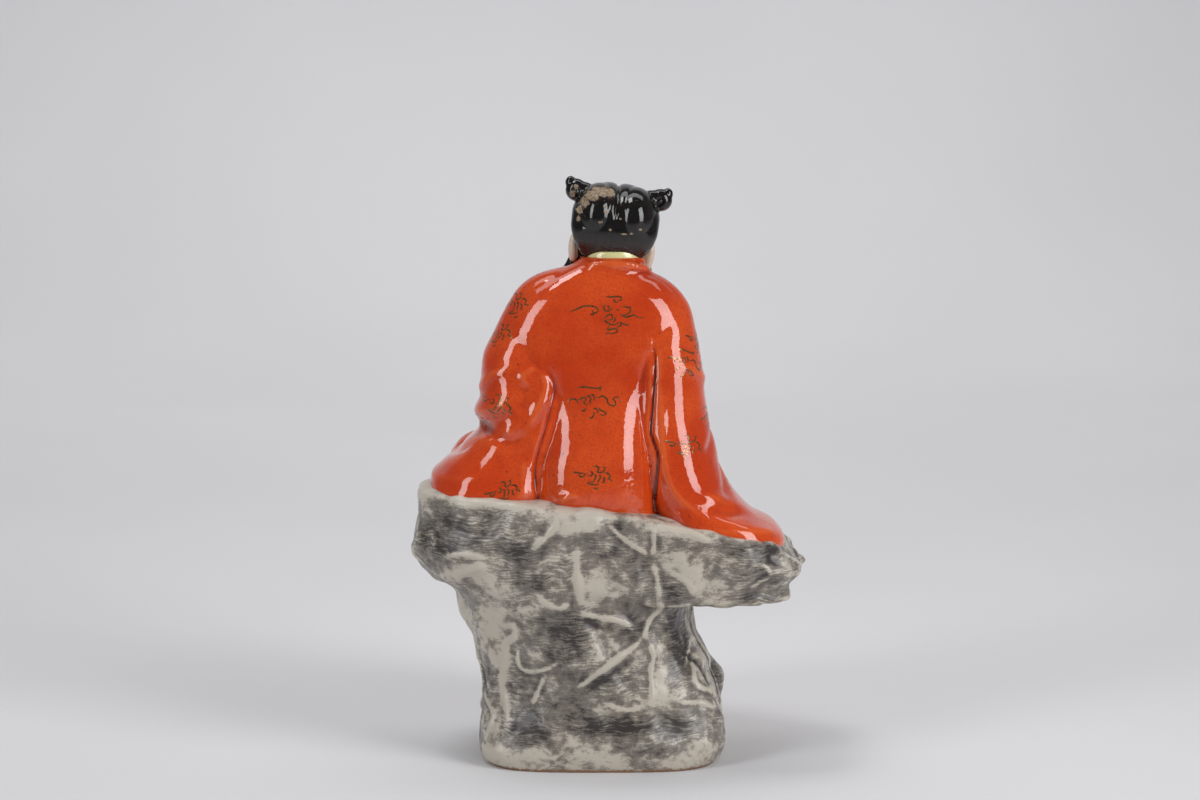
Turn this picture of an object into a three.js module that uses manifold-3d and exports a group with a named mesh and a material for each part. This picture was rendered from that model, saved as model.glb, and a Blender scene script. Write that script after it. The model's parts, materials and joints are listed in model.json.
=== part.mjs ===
// A glazed porcelain figure of a seated sage, moulded and fired in one piece with the rock it sits on.
// Millimetres, +Z up. The sage faces -Y, its left hand is towards +X, and the underside of the rock is at Z = 0.
import * as THREE from 'three';
import { LoftGeometry } from 'three/addons/geometries/LoftGeometry.js';
import { mergeVertices } from 'three/addons/utils/BufferGeometryUtils.js';
import Module from 'manifold-3d';

const wasm = await Module();
wasm.setup();

// Driving dimensions
const SEAT_HEIGHT = 146; // top of the rock at the middle of its back rim
const SEAT_RISE_LEFT = 0.09; // slope of the rock's top towards the sage's left
const SEAT_DROP_RIGHT = 0.19; // slope of the rock's top towards the sage's right
const SEAT_DROP_FRONT = 0.13; // slope of the rock's top from its middle to its front
const BODY_X = -5.5; // the neck and head stand this far from the middle of the base
const HEAD_TILT = THREE.MathUtils.degToRad( 7 ); // the head leans towards the sage's right
const HEAD = new THREE.Vector3( BODY_X - 0.8, - 6, 292 ); // middle of the skull, between the ears
const KNEE_LEFT = new THREE.Vector3( 69, - 36, 160 ); // folded knee, lying on the rock
const KNEE_RIGHT = new THREE.Vector3( - 35, - 75, 156 ); // bent knee of the hanging leg
const FOOT_RIGHT = new THREE.Vector3( - 26, - 85, 70 ); // ankle of the hanging leg
const HAND_LENGTH = 31;

// The glazes, in the order of the mesh's material groups
const GLAZES = {
	rock: new THREE.MeshStandardMaterial( { name: 'washed_grey', color: 0x9b9790, roughness: 0.45, metalness: 0 } ),
	robe: new THREE.MeshStandardMaterial( { name: 'iron_red', color: 0xc8401c, roughness: 0.12, metalness: 0 } ),
	under: new THREE.MeshStandardMaterial( { name: 'pale_yellow', color: 0xe6e0a0, roughness: 0.2, metalness: 0 } ),
	black: new THREE.MeshStandardMaterial( { name: 'mirror_black', color: 0x14110f, roughness: 0.12, metalness: 0 } ),
	flesh: new THREE.MeshStandardMaterial( { name: 'flesh_white', color: 0xe9dccb, roughness: 0.4, metalness: 0 } ),
};

// One number between the values of a list, smooth and without overshoot.
function between( values, t ) {

	const i = Math.min( Math.floor( t ), values.length - 2 );
	const s = t - i;
	const step = ( k ) => values[ k + 1 ] - values[ k ];
	const slope = ( k ) => {

		if ( k === 0 ) return step( 0 );
		if ( k === values.length - 1 ) return step( k - 1 );
		const a = step( k - 1 ), b = step( k );
		return a * b > 0 ? 2 * a * b / ( a + b ) : 0;

	};

	const s2 = s * s, s3 = s2 * s;
	return values[ i ] * ( 2 * s3 - 3 * s2 + 1 ) + slope( i ) * ( s3 - 2 * s2 + s )
		+ values[ i + 1 ] * ( 3 * s2 - 2 * s3 ) + slope( i + 1 ) * ( s3 - s2 );

}

// All columns of a table at once.
const rowAt = ( rows, t ) => rows[ 0 ].map( ( _, c ) => between( rows.map( ( r ) => r[ c ] ), t ) );
const signedPower = ( v, e ) => Math.sign( v ) * Math.abs( v ) ** e;
const bump = ( d, width ) => Math.exp( - ( ( d / width ) ** 2 ) );

// A closed mesh as a solid that can be joined.
function solid( geometry, glaze ) {

	const bare = new THREE.BufferGeometry().setIndex( geometry.index )
		.setAttribute( 'position', geometry.getAttribute( 'position' ) );
	const merged = mergeVertices( bare, 1e-3 );
	const kept = [];
	const index = merged.index.array;
	for ( let i = 0; i < index.length; i += 3 ) {

		const [ a, b, c ] = index.subarray( i, i + 3 );
		if ( a !== b && b !== c && c !== a ) kept.push( a, b, c );

	}

	const made = new wasm.Manifold( new wasm.Mesh( {
		numProp: 3, vertProperties: merged.attributes.position.array, triVerts: new Uint32Array( kept ) } ) );
	return { made, glaze, id: made.originalID() };

}

// A form built level by level. A row is [height, left edge, right edge, back edge, front edge, squareness],
// and squareness 1 is an ellipse, less is boxier. Relief moves a point in or out of its level, lean moves it
// up or down, and crowd gathers the facets towards the front.
function levels( glaze, rows, rings, sides, relief = () => 0, lean = () => 0, crowd = 0 ) {

	const sections = [];
	for ( let i = 0; i <= rings; i ++ ) {

		const [ z, left, right, back, front, square ] = rowAt( rows, i / rings * ( rows.length - 1 ) );
		const points = [];
		for ( let j = 0; j < sides; j ++ ) {

			const even = j / sides * 2 * Math.PI;
			const angle = even - crowd * Math.cos( even );
			const x = ( left + right ) / 2 + ( left - right ) / 2 * signedPower( Math.cos( angle ), square );
			const y = ( back + front ) / 2 + ( back - front ) / 2 * signedPower( Math.sin( angle ), square );
			const point = new THREE.Vector3( x, y, z + lean( x, y, z ) );
			const out = new THREE.Vector3( Math.cos( angle ), Math.sin( angle ), 0 );
			points.push( point.addScaledVector( out, relief( point, angle, i / rings ) ) );

		}

		sections.push( points );

	}

	return solid( new LoftGeometry( sections, { capStart: true, capEnd: true } ), glaze );

}

// A limb along a smooth line. A row is [x, y, z, half width, half depth]. Depth lies along up.
function limb( glaze, rows, rings, sides, up = new THREE.Vector3( 0, 0, 1 ), relief = () => 0 ) {

	const sections = [];
	const centre = ( t ) => new THREE.Vector3( ...rowAt( rows, t ).slice( 0, 3 ) );
	for ( let i = 0; i <= rings; i ++ ) {

		const t = i / rings * ( rows.length - 1 );
		const [ , , , width, depth ] = rowAt( rows, t );
		const near = 0.01;
		const along = centre( Math.min( t + near, rows.length - 1 ) ).sub( centre( Math.max( t - near, 0 ) ) ).normalize();
		const side = new THREE.Vector3().crossVectors( up, along ).normalize();
		const top = new THREE.Vector3().crossVectors( along, side );
		const points = [];
		for ( let j = 0; j < sides; j ++ ) {

			const angle = j / sides * 2 * Math.PI;
			const r = 1 + relief( angle, i / rings );
			points.push( centre( t )
				.addScaledVector( side, width * r * Math.cos( angle ) )
				.addScaledVector( top, depth * r * Math.sin( angle ) ) );

		}

		sections.push( points );

	}

	return solid( new LoftGeometry( sections, { capStart: true, capEnd: true } ), glaze );

}

// Repeatable scatter, 0 to 1, for whole numbers i, j, k.
function scatter( i, j, k ) {

	const v = Math.sin( i * 127.1 + j * 311.7 + k * 74.7 ) * 43758.5453;
	return v - Math.floor( v );

}

// Crags: the space is parted into cells, and each cell lifts or sinks the rock as one tilted plane.
const CRAG_CELL = 27, CRAG_LIFT = 3.4, CRAG_TILT = 0.17;

function crag( p ) {

	const cell = [ p.x, p.y, p.z ].map( ( v ) => Math.floor( v / CRAG_CELL ) );
	const found = [];
	for ( let i = - 1; i <= 1; i ++ ) for ( let j = - 1; j <= 1; j ++ ) for ( let k = - 1; k <= 1; k ++ ) {

		const [ a, b, c ] = [ cell[ 0 ] + i, cell[ 1 ] + j, cell[ 2 ] + k ];
		const d = [
			p.x - ( a + scatter( a, b, c ) ) * CRAG_CELL,
			p.y - ( b + scatter( b, c, a + 7 ) ) * CRAG_CELL,
			p.z - ( c + scatter( c, a, b + 3 ) ) * CRAG_CELL,
		];
		const lift = CRAG_LIFT * ( 2 * scatter( a + 5, b, c ) - 1 )
			+ CRAG_TILT * ( d[ 0 ] * ( 2 * scatter( a, b + 9, c ) - 1 )
			+ d[ 1 ] * ( 2 * scatter( a, b, c + 11 ) - 1 ) + d[ 2 ] * ( 2 * scatter( a + 2, b + 4, c ) - 1 ) );
		found.push( [ Math.hypot( ...d ), lift ] );

	}

	const nearest = Math.min( ...found.map( ( f ) => f[ 0 ] ) );
	const soft = 3.5;
	let weight = 0, sum = 0;
	for ( const [ distance, lift ] of found ) {

		const w = Math.exp( - ( distance - nearest ) / soft );
		weight += w;
		sum += w * lift;

	}

	return sum / weight;

}

// The rock: a block that widens to the left, and a shelf that reaches far out on the sage's right.
const SHELF_BOTTOM = 91;

function seatLean( x, y, z ) {

	const share = THREE.MathUtils.smoothstep( z, SHELF_BOTTOM, SEAT_HEIGHT - 8 );
	return share * ( x * ( x > 0 ? SEAT_RISE_LEFT : SEAT_DROP_RIGHT ) + SEAT_DROP_FRONT * Math.min( y, 0 ) );

}

// The crags fade out at the flat underside, and on top under the robe.
function cragged( p, top ) {

	const { smoothstep } = THREE.MathUtils;
	return crag( p ) * smoothstep( p.z, 0, 14 ) * ( 1 - smoothstep( p.z - seatLean( p.x, p.y, p.z ), top - 9, top ) );

}

function rock() {

	const block = [
		[ 0, 65, - 63.5, 50, - 67, 0.5 ],
		[ 4, 68.5, - 67, 51.5, - 70, 0.5 ],
		[ 20, 69.5, - 68.5, 52, - 72, 0.56 ],
		[ 36, 67, - 67, 50, - 71, 0.62 ],
		[ 52, 66, - 60, 48, - 68, 0.66 ],
		[ 66, 69, - 54, 48, - 66, 0.68 ],
		[ 79, 76, - 48, 49, - 65, 0.7 ],
		[ 91, 81, - 48, 50, - 65, 0.7 ],
		[ 103, 97, - 74, 52, - 67, 0.68 ],
		[ 115, 105, - 80, 54, - 70, 0.66 ],
		[ 128, 104, - 82, 55, - 72, 0.66 ],
		[ 140, 103, - 80, 54, - 71, 0.66 ],
		[ SEAT_HEIGHT - 1, 96, - 70, 48, - 65, 0.7 ],
		[ SEAT_HEIGHT, 60, - 50, 24, - 40, 0.8 ],
	];
	const shelf = [
		[ SHELF_BOTTOM, 0, - 97, 44, - 54, 0.6 ],
		[ SHELF_BOTTOM + 2, 2, - 104, 49, - 61, 0.6 ],
		[ 101, 4, - 106, 51, - 65, 0.64 ],
		[ 112, 6, - 111, 53, - 68, 0.66 ],
		[ 124, 10, - 113.5, 54, - 70, 0.66 ],
		[ 139, 12, - 107, 53, - 69, 0.66 ],
		[ SEAT_HEIGHT - 2, 10, - 101, 48, - 63, 0.7 ],
		[ SEAT_HEIGHT - 1, 0, - 84, 30, - 44, 0.8 ],
	];
	const relief = ( p ) => cragged( p, SEAT_HEIGHT );
	return [
		levels( GLAZES.rock, block, 21, 36, relief, seatLean ),
		levels( GLAZES.rock, shelf, 8, 28, relief, seatLean ),
	];

}

// A low ledge of the rock's front, under the feet.
function footLedge() {

	const { x } = FOOT_RIGHT;
	const rows = [
		[ 0, x + 62, x - 22, - 40, - 92, 0.62 ],
		[ 9, x + 65, x - 24, - 40, - 98, 0.62 ],
		[ 24, x + 60, x - 24, - 40, - 105, 0.64 ],
		[ 40, x + 52, x - 22, - 40, - 111, 0.66 ],
		[ 51, x + 44, x - 20, - 40, - 111, 0.68 ],
		[ 55, x + 34, x - 15, - 44, - 104, 0.74 ],
	];
	const fall = ( px, py, pz ) => - 0.12 * Math.abs( px - x ) * THREE.MathUtils.smoothstep( pz, 20, 50 );
	return levels( GLAZES.rock, rows, 6, 22, ( p ) => cragged( p, 60 ), fall );

}

// The robe's body, and its two sleeves, which fall from the shoulders to the rock.
function torso() {

	const rows = [
		[ 136, 38.5, - 41.5, 42, - 40, 0.8 ],
		[ 150, 38.5, - 38.5, 46, - 42, 0.8 ],
		[ 166, 36.5, - 36.5, 44, - 38, 0.82 ],
		[ 184, 35, - 34, 38, - 31, 0.86 ],
		[ 200, 39, - 34, 34, - 27, 0.82 ],
		[ 212, 46, - 36, 32.5, - 25, 0.76 ],
		[ 224, 54, - 41, 31.5, - 24, 0.7 ],
		[ 235, 56, - 46.5, 30.5, - 23, 0.68 ],
		[ 246, 52, - 46.5, 28.5, - 21, 0.7 ],
		[ 257, 45, - 41.5, 25.5, - 18, 0.74 ],
		[ 265, 36, - 34, 21, - 15, 0.85 ],
		[ 271, 24, - 24, 17, - 12, 0.95 ],
		[ 276, 12, - 22, 14, - 12, 1 ],
		[ 279.5, 9.5, - 21, 12, - 12, 1 ],
	];
	return levels( GLAZES.robe, rows, 16, 24 );

}

function leftSleeve() {

	const rows = [
		[ 142, 36, 92, 43, - 42, 0.8 ],
		[ 150, 34, 95.5, 45, - 44, 0.8 ],
		[ 158, 33, 95, 43, - 44, 0.85 ],
		[ 164, 33, 89.5, 41, - 42, 0.9 ],
		[ 171, 32, 83, 39, - 40, 0.9 ],
		[ 180, 31, 75, 37, - 38, 0.9 ],
		[ 187, 31, 68.5, 35, - 36, 0.9 ],
		[ 195, 30, 71, 34.5, - 33, 0.9 ],
		[ 203, 28, 67.5, 32, - 29, 0.9 ],
		[ 214, 26, 67, 30, - 25, 0.9 ],
		[ 224, 23, 66, 28, - 23, 0.9 ],
		[ 237, 18, 60, 25, - 21, 0.92 ],
		[ 250, 10, 53.5, 22, - 19, 1 ],
		[ 262, 2, 45.5, 18, - 16, 1 ],
		[ 269, 0, 35, 13, - 12, 1 ],
		[ 273, 4, 20, 8, - 8, 1 ],
	].map( ( [ z, inner, outer, ...rest ] ) => [ z, outer, inner, ...rest ] );
	const { smoothstep } = THREE.MathUtils;
	const climb = ( x, y, z ) => 0.35 * ( 67 - x ) * smoothstep( z, 165, 187 ) * ( 1 - smoothstep( z, 200, 226 ) );
	return levels( GLAZES.robe, rows, 18, 16, undefined, climb );

}

function rightSleeve() {

	const rows = [
		[ 116, - 36, - 96, 40, - 30, 0.8 ],
		[ 127, - 35, - 101, 47, - 38, 0.8 ],
		[ 133, - 34, - 96.5, 48, - 40, 0.8 ],
		[ 138, - 34, - 84.5, 47, - 41, 0.85 ],
		[ 145, - 33, - 76, 45, - 41, 0.9 ],
		[ 153, - 32, - 70, 43, - 40, 0.9 ],
		[ 164, - 31, - 65, 40, - 38, 0.9 ],
		[ 177, - 30, - 62, 37, - 35, 0.9 ],
		[ 190, - 29, - 58.6, 34, - 32, 0.9 ],
		[ 204, - 27, - 56.4, 32, - 28, 0.9 ],
		[ 218, - 24, - 55, 30.5, - 24, 0.9 ],
		[ 230, - 20, - 53, 28, - 22, 0.92 ],
		[ 240, - 14, - 51, 25, - 20, 0.95 ],
		[ 250, - 8, - 48.5, 21.5, - 18, 1 ],
		[ 260, - 4, - 42, 17, - 15, 1 ],
		[ 267, - 6, - 33, 13, - 11, 1 ],
		[ 271, - 12, - 24, 8, - 7, 1 ],
	];
	return levels( GLAZES.robe, rows, 18, 16, undefined,
		( x, y, z ) => ( x + 34 ) * 0.1 * ( 1 - THREE.MathUtils.smoothstep( z, 116, 150 ) ) );

}

// The legs under the robe: the left one folded on the rock, the right one hanging over its front.
function legs() {

	const [ left, right ] = [ KNEE_LEFT, KNEE_RIGHT ];
	return [
		limb( GLAZES.robe, [
			[ 16, 6, 160, 24, 22 ], [ 44, - 14, 161, 23, 20 ], [ left.x, left.y, left.z, 19, 17 ],
			[ left.x + 13, left.y - 8, left.z - 3, 9, 9 ] ], 6, 12 ),
		limb( GLAZES.robe, [
			[ left.x + 9, left.y + 2, left.z - 2, 9, 8 ], [ left.x - 4, left.y - 11, left.z - 3, 17, 16 ],
			[ 40, - 54, 156, 16, 15 ], [ 12, - 60, 154, 15, 14 ], [ - 8, - 62, 153, 9, 10 ] ], 7, 12 ),
		limb( GLAZES.robe, [
			[ - 26, 0, 158, 24, 22 ], [ - 31, - 38, 162, 21, 19 ], [ right.x, right.y, right.z + 4, 18, 16 ],
			[ right.x, right.y - 14, right.z, 8, 8 ] ], 6, 12 ),
	];

}

// The robe's skirt: it falls from the right knee to the foot, and from the left shin over the rock's front rim.
function skirts() {

	const { x, y } = FOOT_RIGHT;
	const pleats = ( p, angle, share ) => 1.3 * ( 1 - share ) * Math.cos( 11 * angle );
	const short = ( px, py, pz ) => 0.3 * Math.max( 0, px - x - 14 ) * ( 1 - THREE.MathUtils.smoothstep( pz, 74, 140 ) );
	return [
		levels( GLAZES.robe, [
			[ 70, x + 34, x - 20, - 50, y - 19, 0.75 ],
			[ 84, x + 32, x - 20, - 50, y - 17, 0.78 ],
			[ 112, x + 29, x - 23, - 50, y - 12, 0.8 ],
			[ 140, x + 25, x - 27, - 40, y - 9, 0.85 ],
			[ 158, x + 26, x - 28, - 20, y - 6, 0.9 ],
			[ 170, x + 20, x - 24, 0, y + 4, 0.95 ],
			[ 176, x + 12, x - 16, 8, y + 20, 1 ],
		], 7, 22, pleats, short ),
		levels( GLAZES.robe, [
			[ 117, 70, 14, - 52, - 74, 0.7 ],
			[ 126, 74, 8, - 50, - 77, 0.7 ],
			[ 140, 78, 4, - 46, - 77, 0.75 ],
			[ 150, 82, 0, - 36, - 74, 0.8 ],
			[ 160, 80, 0, - 26, - 66, 0.9 ],
			[ 166, 70, 6, - 30, - 58, 1 ],
		], 5, 18, pleats, ( px ) => 0.08 * ( px - 40 ) ),
	];

}

// The under-robe: it shows on the chest, and below the skirt's hem.
function underRobe() {

	const c = BODY_X;
	const { x, y } = FOOT_RIGHT;
	return [
		levels( GLAZES.under, [
			[ 180, c + 17, c - 15, 0, - 36, 0.8 ],
			[ 206, c + 14, c - 13, 0, - 30, 0.85 ],
			[ 230, c + 13, c - 12, 0, - 27.5, 0.9 ],
			[ 250, c + 12, c - 12, 0, - 25, 0.9 ],
			[ 266, c + 13, c - 13, 4, - 20, 1 ],
			[ 277, c + 15, c - 15.5, 13, - 15, 1 ],
			[ 283, c + 13, c - 13.5, 13.5, - 13, 1 ],
		], 7, 12 ),
		levels( GLAZES.under, [
			[ 60, x + 29, x - 17, - 50, y - 15, 0.78 ],
			[ 72, x + 28, x - 17, - 50, y - 14, 0.78 ],
			[ 90, x + 26, x - 17, - 48, y - 12, 0.8 ],
			[ 104, x + 20, x - 12, - 46, y - 6, 0.8 ],
		], 3, 16 ),
	];

}

// The forearms in their wide cuffs, and the hands on the knees.
function forearm( elbow, wrist, droop ) {

	const row = ( share, width, depth, drop ) => [
		...elbow.clone().lerp( wrist, share ).toArray().map( ( v, k ) => v - ( k === 2 ? drop : 0 ) ), width, depth ];
	return limb( GLAZES.robe, [ row( 0, 8, 8, 0 ), row( 0.35, 13, 14, 2 ), row( 0.8, 13, droop * 0.8, droop * 0.3 ),
		row( 1, 13, droop, droop * 0.45 ) ], 6, 12 );

}

function hand( wrist, forward, thumbSide ) {

	const along = forward.clone().normalize();
	const across = new THREE.Vector3().crossVectors( new THREE.Vector3( 0, 0, 1 ), along ).normalize().multiplyScalar( thumbSide );
	const at = ( a, c, up ) => wrist.clone().addScaledVector( along, a * HAND_LENGTH ).addScaledVector( across, c * HAND_LENGTH )
		.add( new THREE.Vector3( 0, 0, up * HAND_LENGTH ) ).toArray();
	const parts = [ limb( GLAZES.flesh, [ [ ...at( - 0.25, 0, 0 ), 5.2, 4.2 ], [ ...at( 0.05, 0, 0.01 ), 5.6, 4 ],
		[ ...at( 0.3, 0, 0.02 ), 7.4, 3.8 ], [ ...at( 0.52, - 0.01, - 0.02 ), 7.2, 3 ], [ ...at( 0.58, - 0.01, - 0.04 ), 5, 2 ] ], 4, 8 ) ];
	for ( let k = 0; k < 4; k ++ ) {

		const c = ( 1.5 - k ) * 0.125;
		const reach = [ 0.9, 0.98, 0.94, 0.8 ][ k ];
		parts.push( limb( GLAZES.flesh, [ [ ...at( 0.42, c, 0 ), 1.9, 1.9 ], [ ...at( 0.62, c * 1.08, 0 ), 2, 2 ],
			[ ...at( reach * 0.88, c * 1.12, - 0.08 ), 1.8, 1.8 ], [ ...at( reach, c * 1.1, - 0.17 ), 1.1, 1.1 ] ], 3, 5 ) );

	}

	parts.push( limb( GLAZES.flesh, [ [ ...at( 0.12, 0.14, 0 ), 2.4, 2.4 ], [ ...at( 0.34, 0.29, - 0.03 ), 2.3, 2.2 ],
		[ ...at( 0.52, 0.33, - 0.07 ), 1.9, 1.8 ], [ ...at( 0.62, 0.33, - 0.1 ), 1.1, 1 ] ], 3, 5 ) );
	return parts;

}

// The shoe under the hem of the hanging leg.
function shoe() {

	const { x, y } = FOOT_RIGHT;
	return limb( GLAZES.black, [ [ x, y + 8, 62, 9, 9 ], [ x, y - 4, 61, 10.5, 9 ], [ x - 1.5, y - 17, 60, 10, 7.5 ],
		[ x - 2.5, y - 26, 60.5, 8, 6.5 ], [ x - 3, y - 31, 63, 4, 4 ] ], 6, 12 );

}

// The head. Its parts are built upright about its own middle, and then leaned and set on the neck.
function head() {

	// The face lies towards -Y. Heights are from the middle of the head.
	const face = [
		[ - 23.5, 5, - 5, - 6, - 17, 1 ],
		[ - 21, 10, - 10, 2, - 20, 0.95 ],
		[ - 15, 15.5, - 15.5, 6, - 20.5, 0.9 ],
		[ - 7, 19.5, - 19.5, 10, - 20, 0.9 ],
		[ 2, 20.5, - 20.5, 14, - 20, 0.9 ],
		[ 10, 20, - 20, 15, - 20.5, 0.9 ],
		[ 17, 17.5, - 17.5, 14, - 18, 0.95 ],
		[ 22, 10, - 10, 8, - 11, 1 ],
	];
	// Each feature is [sideways, height, width, tallness, how far it stands out], and lies on both sides if off the middle.
	const features = [
		[ 0, - 5, 2.6, 5, 4.2 ], [ 0, - 8.6, 2.4, 1.6, 1.6 ], [ 3.2, - 8.8, 1.6, 1.4, 1.6 ],
		[ 8, 0.6, 4.6, 3, - 2.2 ], [ 8, 0, 3, 1.7, 1.5 ], [ 8.4, 5, 5, 1.6, 1 ],
		[ 11, - 7, 5, 4.5, 1.4 ], [ 0, - 13, 4, 1.2, 1.3 ], [ 0, - 15.6, 3.4, 1.2, 1.5 ],
	];
	const carve = ( p, angle ) => {

		const front = Math.max( 0, - Math.sin( angle ) ) ** 2;
		let out = 0;
		for ( const [ x, z, width, tall, depth ] of features ) {

			const d = ( Math.abs( p.x ) - x ) / width;
			out += depth * Math.exp( - d * d - ( ( p.z - z ) / tall ) ** 2 );

		}

		return out * front;

	};

	// The hair: a full cap, parted behind, with a bun on each side of the crown.
	const hair = [
		[ - 17, 15, - 15, 17, 4, 0.95 ],
		[ - 12, 19, - 19, 21.5, 1, 0.95 ],
		[ - 5, 22.3, - 22.3, 25, 0, 0.95 ],
		[ 3, 24.4, - 24.4, 26, - 4, 0.95 ],
		[ 11, 25, - 25, 25.5, - 12, 0.95 ],
		[ 18.5, 22, - 22, 22, - 18, 0.92 ],
		[ 24.5, 15.5, - 15.5, 16, - 14, 0.96 ],
		[ 27.6, 7, - 7, 8, - 8, 1 ],
	];
	const parting = ( p ) => - 2.2 * bump( p.x, 2.6 ) * THREE.MathUtils.smoothstep( p.z, 0, 9 );
	const partsUpright = [
		levels( GLAZES.flesh, face, 18, 24, carve, undefined, 0.6 ),
		levels( GLAZES.black, hair, 10, 22, parting ),
	];
	for ( const side of [ 1, - 1 ] ) {

		partsUpright.push( limb( GLAZES.black, [ [ side * 15, 2, 16, 5, 5 ], [ side * 19.5, 1, 19, 5.2, 5.2 ],
			[ side * 24.5, 0, 21.5, 5.4, 5.2 ], [ side * 28, 0, 23.2, 3, 3 ] ], 5, 8, new THREE.Vector3( 0, 1, 0 ) ) );
		partsUpright.push( limb( GLAZES.flesh, [ [ side * 18.5, 1, - 8, 2, 2.4 ], [ side * 20.6, 0, - 4, 2.2, 3 ],
			[ side * 21.6, 0, 2, 2.2, 3.6 ], [ side * 20, - 1, 6, 1.6, 2.4 ] ], 4, 6, new THREE.Vector3( 0, 1, 0 ) ) );

	}

	// The beard and moustache, with a lock on each side that reaches past the jaw.
	const strands = ( p, angle ) => 0.7 * Math.cos( 14 * angle );
	partsUpright.push( levels( GLAZES.black, [
		[ - 62, 2.5, - 2.5, - 20.5, - 24.5, 1 ],
		[ - 54, 7, - 7, - 16, - 26, 1 ],
		[ - 42, 11.5, - 11.5, - 11, - 27, 1 ],
		[ - 30, 14.5, - 14.5, - 6, - 26.5, 1 ],
		[ - 22, 14, - 14, - 5, - 24.5, 1 ],
		[ - 18, 8, - 8, - 9, - 22, 1 ],
	], 8, 16, strands ) );
	for ( const side of [ 1, - 1 ] ) {

		partsUpright.push( limb( GLAZES.black, [ [ side * 19.5, - 4, - 5, 1.2, 2 ], [ side * 17.5, - 9.5, - 13, 2.4, 3 ],
			[ side * 12, - 15.5, - 20, 3.6, 3.6 ], [ side * 6, - 18, - 24, 3, 3 ] ], 5, 6, new THREE.Vector3( 0, 1, 0 ) ) );
		partsUpright.push( limb( GLAZES.black, [ [ side * 19.5, - 4, - 3, 1.2, 1.6 ], [ side * 19, - 7, - 12, 2.2, 2.6 ],
			[ side * 20.5, - 6, - 21, 3.2, 3.4 ], [ side * 24, - 3, - 29, 3.6, 3.6 ], [ side * 27.5, - 1, - 35, 1.4, 1.6 ] ], 7, 6,
		new THREE.Vector3( 0, 1, 0 ) ) );
		partsUpright.push( limb( GLAZES.black, [ [ 0, - 23, - 11.2, 1, 1.2 ], [ side * 5, - 22.4, - 12, 1.6, 1.6 ],
			[ side * 9.5, - 20.5, - 16, 1.5, 1.4 ], [ side * 11.5, - 20.5, - 24, 0.9, 0.9 ] ], 5, 5, new THREE.Vector3( 0, 1, 0 ) ) );

	}

	const lean = THREE.MathUtils.radToDeg( HEAD_TILT );
	return partsUpright.map( ( part ) => ( {
		...part, made: part.made.rotate( [ 0, - lean, 0 ] ).translate( HEAD.toArray() ) } ) );

}

// The robe's edges: a band from behind the neck down each side of the chest.
function lapels() {

	const x = BODY_X;
	return [ 1, - 1 ].map( ( side ) => limb( GLAZES.robe, [
		[ x, 15, 279.5, 2.4, 4 ], [ x + side * 11, 12, 278.5, 2.4, 4 ], [ x + side * 16.5, 0, 276, 2.4, 4.4 ],
		[ x + side * 14, - 15, 268, 2.4, 5 ], [ x + side * 13, - 23.5, 248, 2.4, 5.5 ], [ x + side * 14, - 27.5, 222, 2.4, 6 ],
		[ x + side * 14, - 31, 192, 2.4, 6 ], [ x + side * 12, - 33, 172, 2.4, 6 ] ], 10, 6, new THREE.Vector3( side, 0.02, 0.1 ) ) );

}

function fuse( parts ) {

	const glazes = Object.values( GLAZES );
	const owner = new Map( parts.map( ( { id, glaze } ) => [ id, glaze ] ) );
	const whole = parts.slice( 1 ).reduce( ( sum, { made } ) => sum.add( made ), parts[ 0 ].made );
	const mesh = whole.getMesh();
	const geometry = new THREE.BufferGeometry()
		.setAttribute( 'position', new THREE.BufferAttribute( new Float32Array( mesh.vertProperties ), 3 ) )
		.setIndex( new THREE.BufferAttribute( new Uint32Array( mesh.triVerts ), 1 ) );
	mesh.runOriginalID.forEach( ( id, k ) => geometry.addGroup( mesh.runIndex[ k ],
		mesh.runIndex[ k + 1 ] - mesh.runIndex[ k ], Math.max( glazes.indexOf( owner.get( id ) ), 0 ) ) );
	geometry.computeVertexNormals();
	return new THREE.Mesh( geometry, glazes );

}

const leftElbow = new THREE.Vector3( 47, - 2, 208 );
const leftWrist = new THREE.Vector3( 46, - 40, 187 );
const rightElbow = new THREE.Vector3( - 42, - 2, 208 );
const rightWrist = new THREE.Vector3( - 43, - 52, 186 );

const sage = fuse( [
	...rock(), footLedge(), torso(), leftSleeve(), rightSleeve(), ...legs(), ...skirts(), ...underRobe(),
	forearm( leftElbow, leftWrist, 19 ), forearm( rightElbow, rightWrist, 21 ),
	...hand( leftWrist, new THREE.Vector3( 0.15, - 1, - 0.25 ), - 1 ),
	...hand( rightWrist, new THREE.Vector3( - 0.05, - 1, - 0.2 ), 1 ),
	shoe(), ...head(), ...lapels(),
] );
sage.name = 'seated_sage_on_rock';

const group = new THREE.Group();
group.add( sage );

export default group;
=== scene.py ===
"""A seated porcelain sage on its rock: iron-red robe, mirror-black hair, ink-washed rock. Millimetres inside, metres out."""
import json
import math

import bpy
import numpy as np
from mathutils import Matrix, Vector
from mathutils.bvhtree import BVHTree

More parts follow.
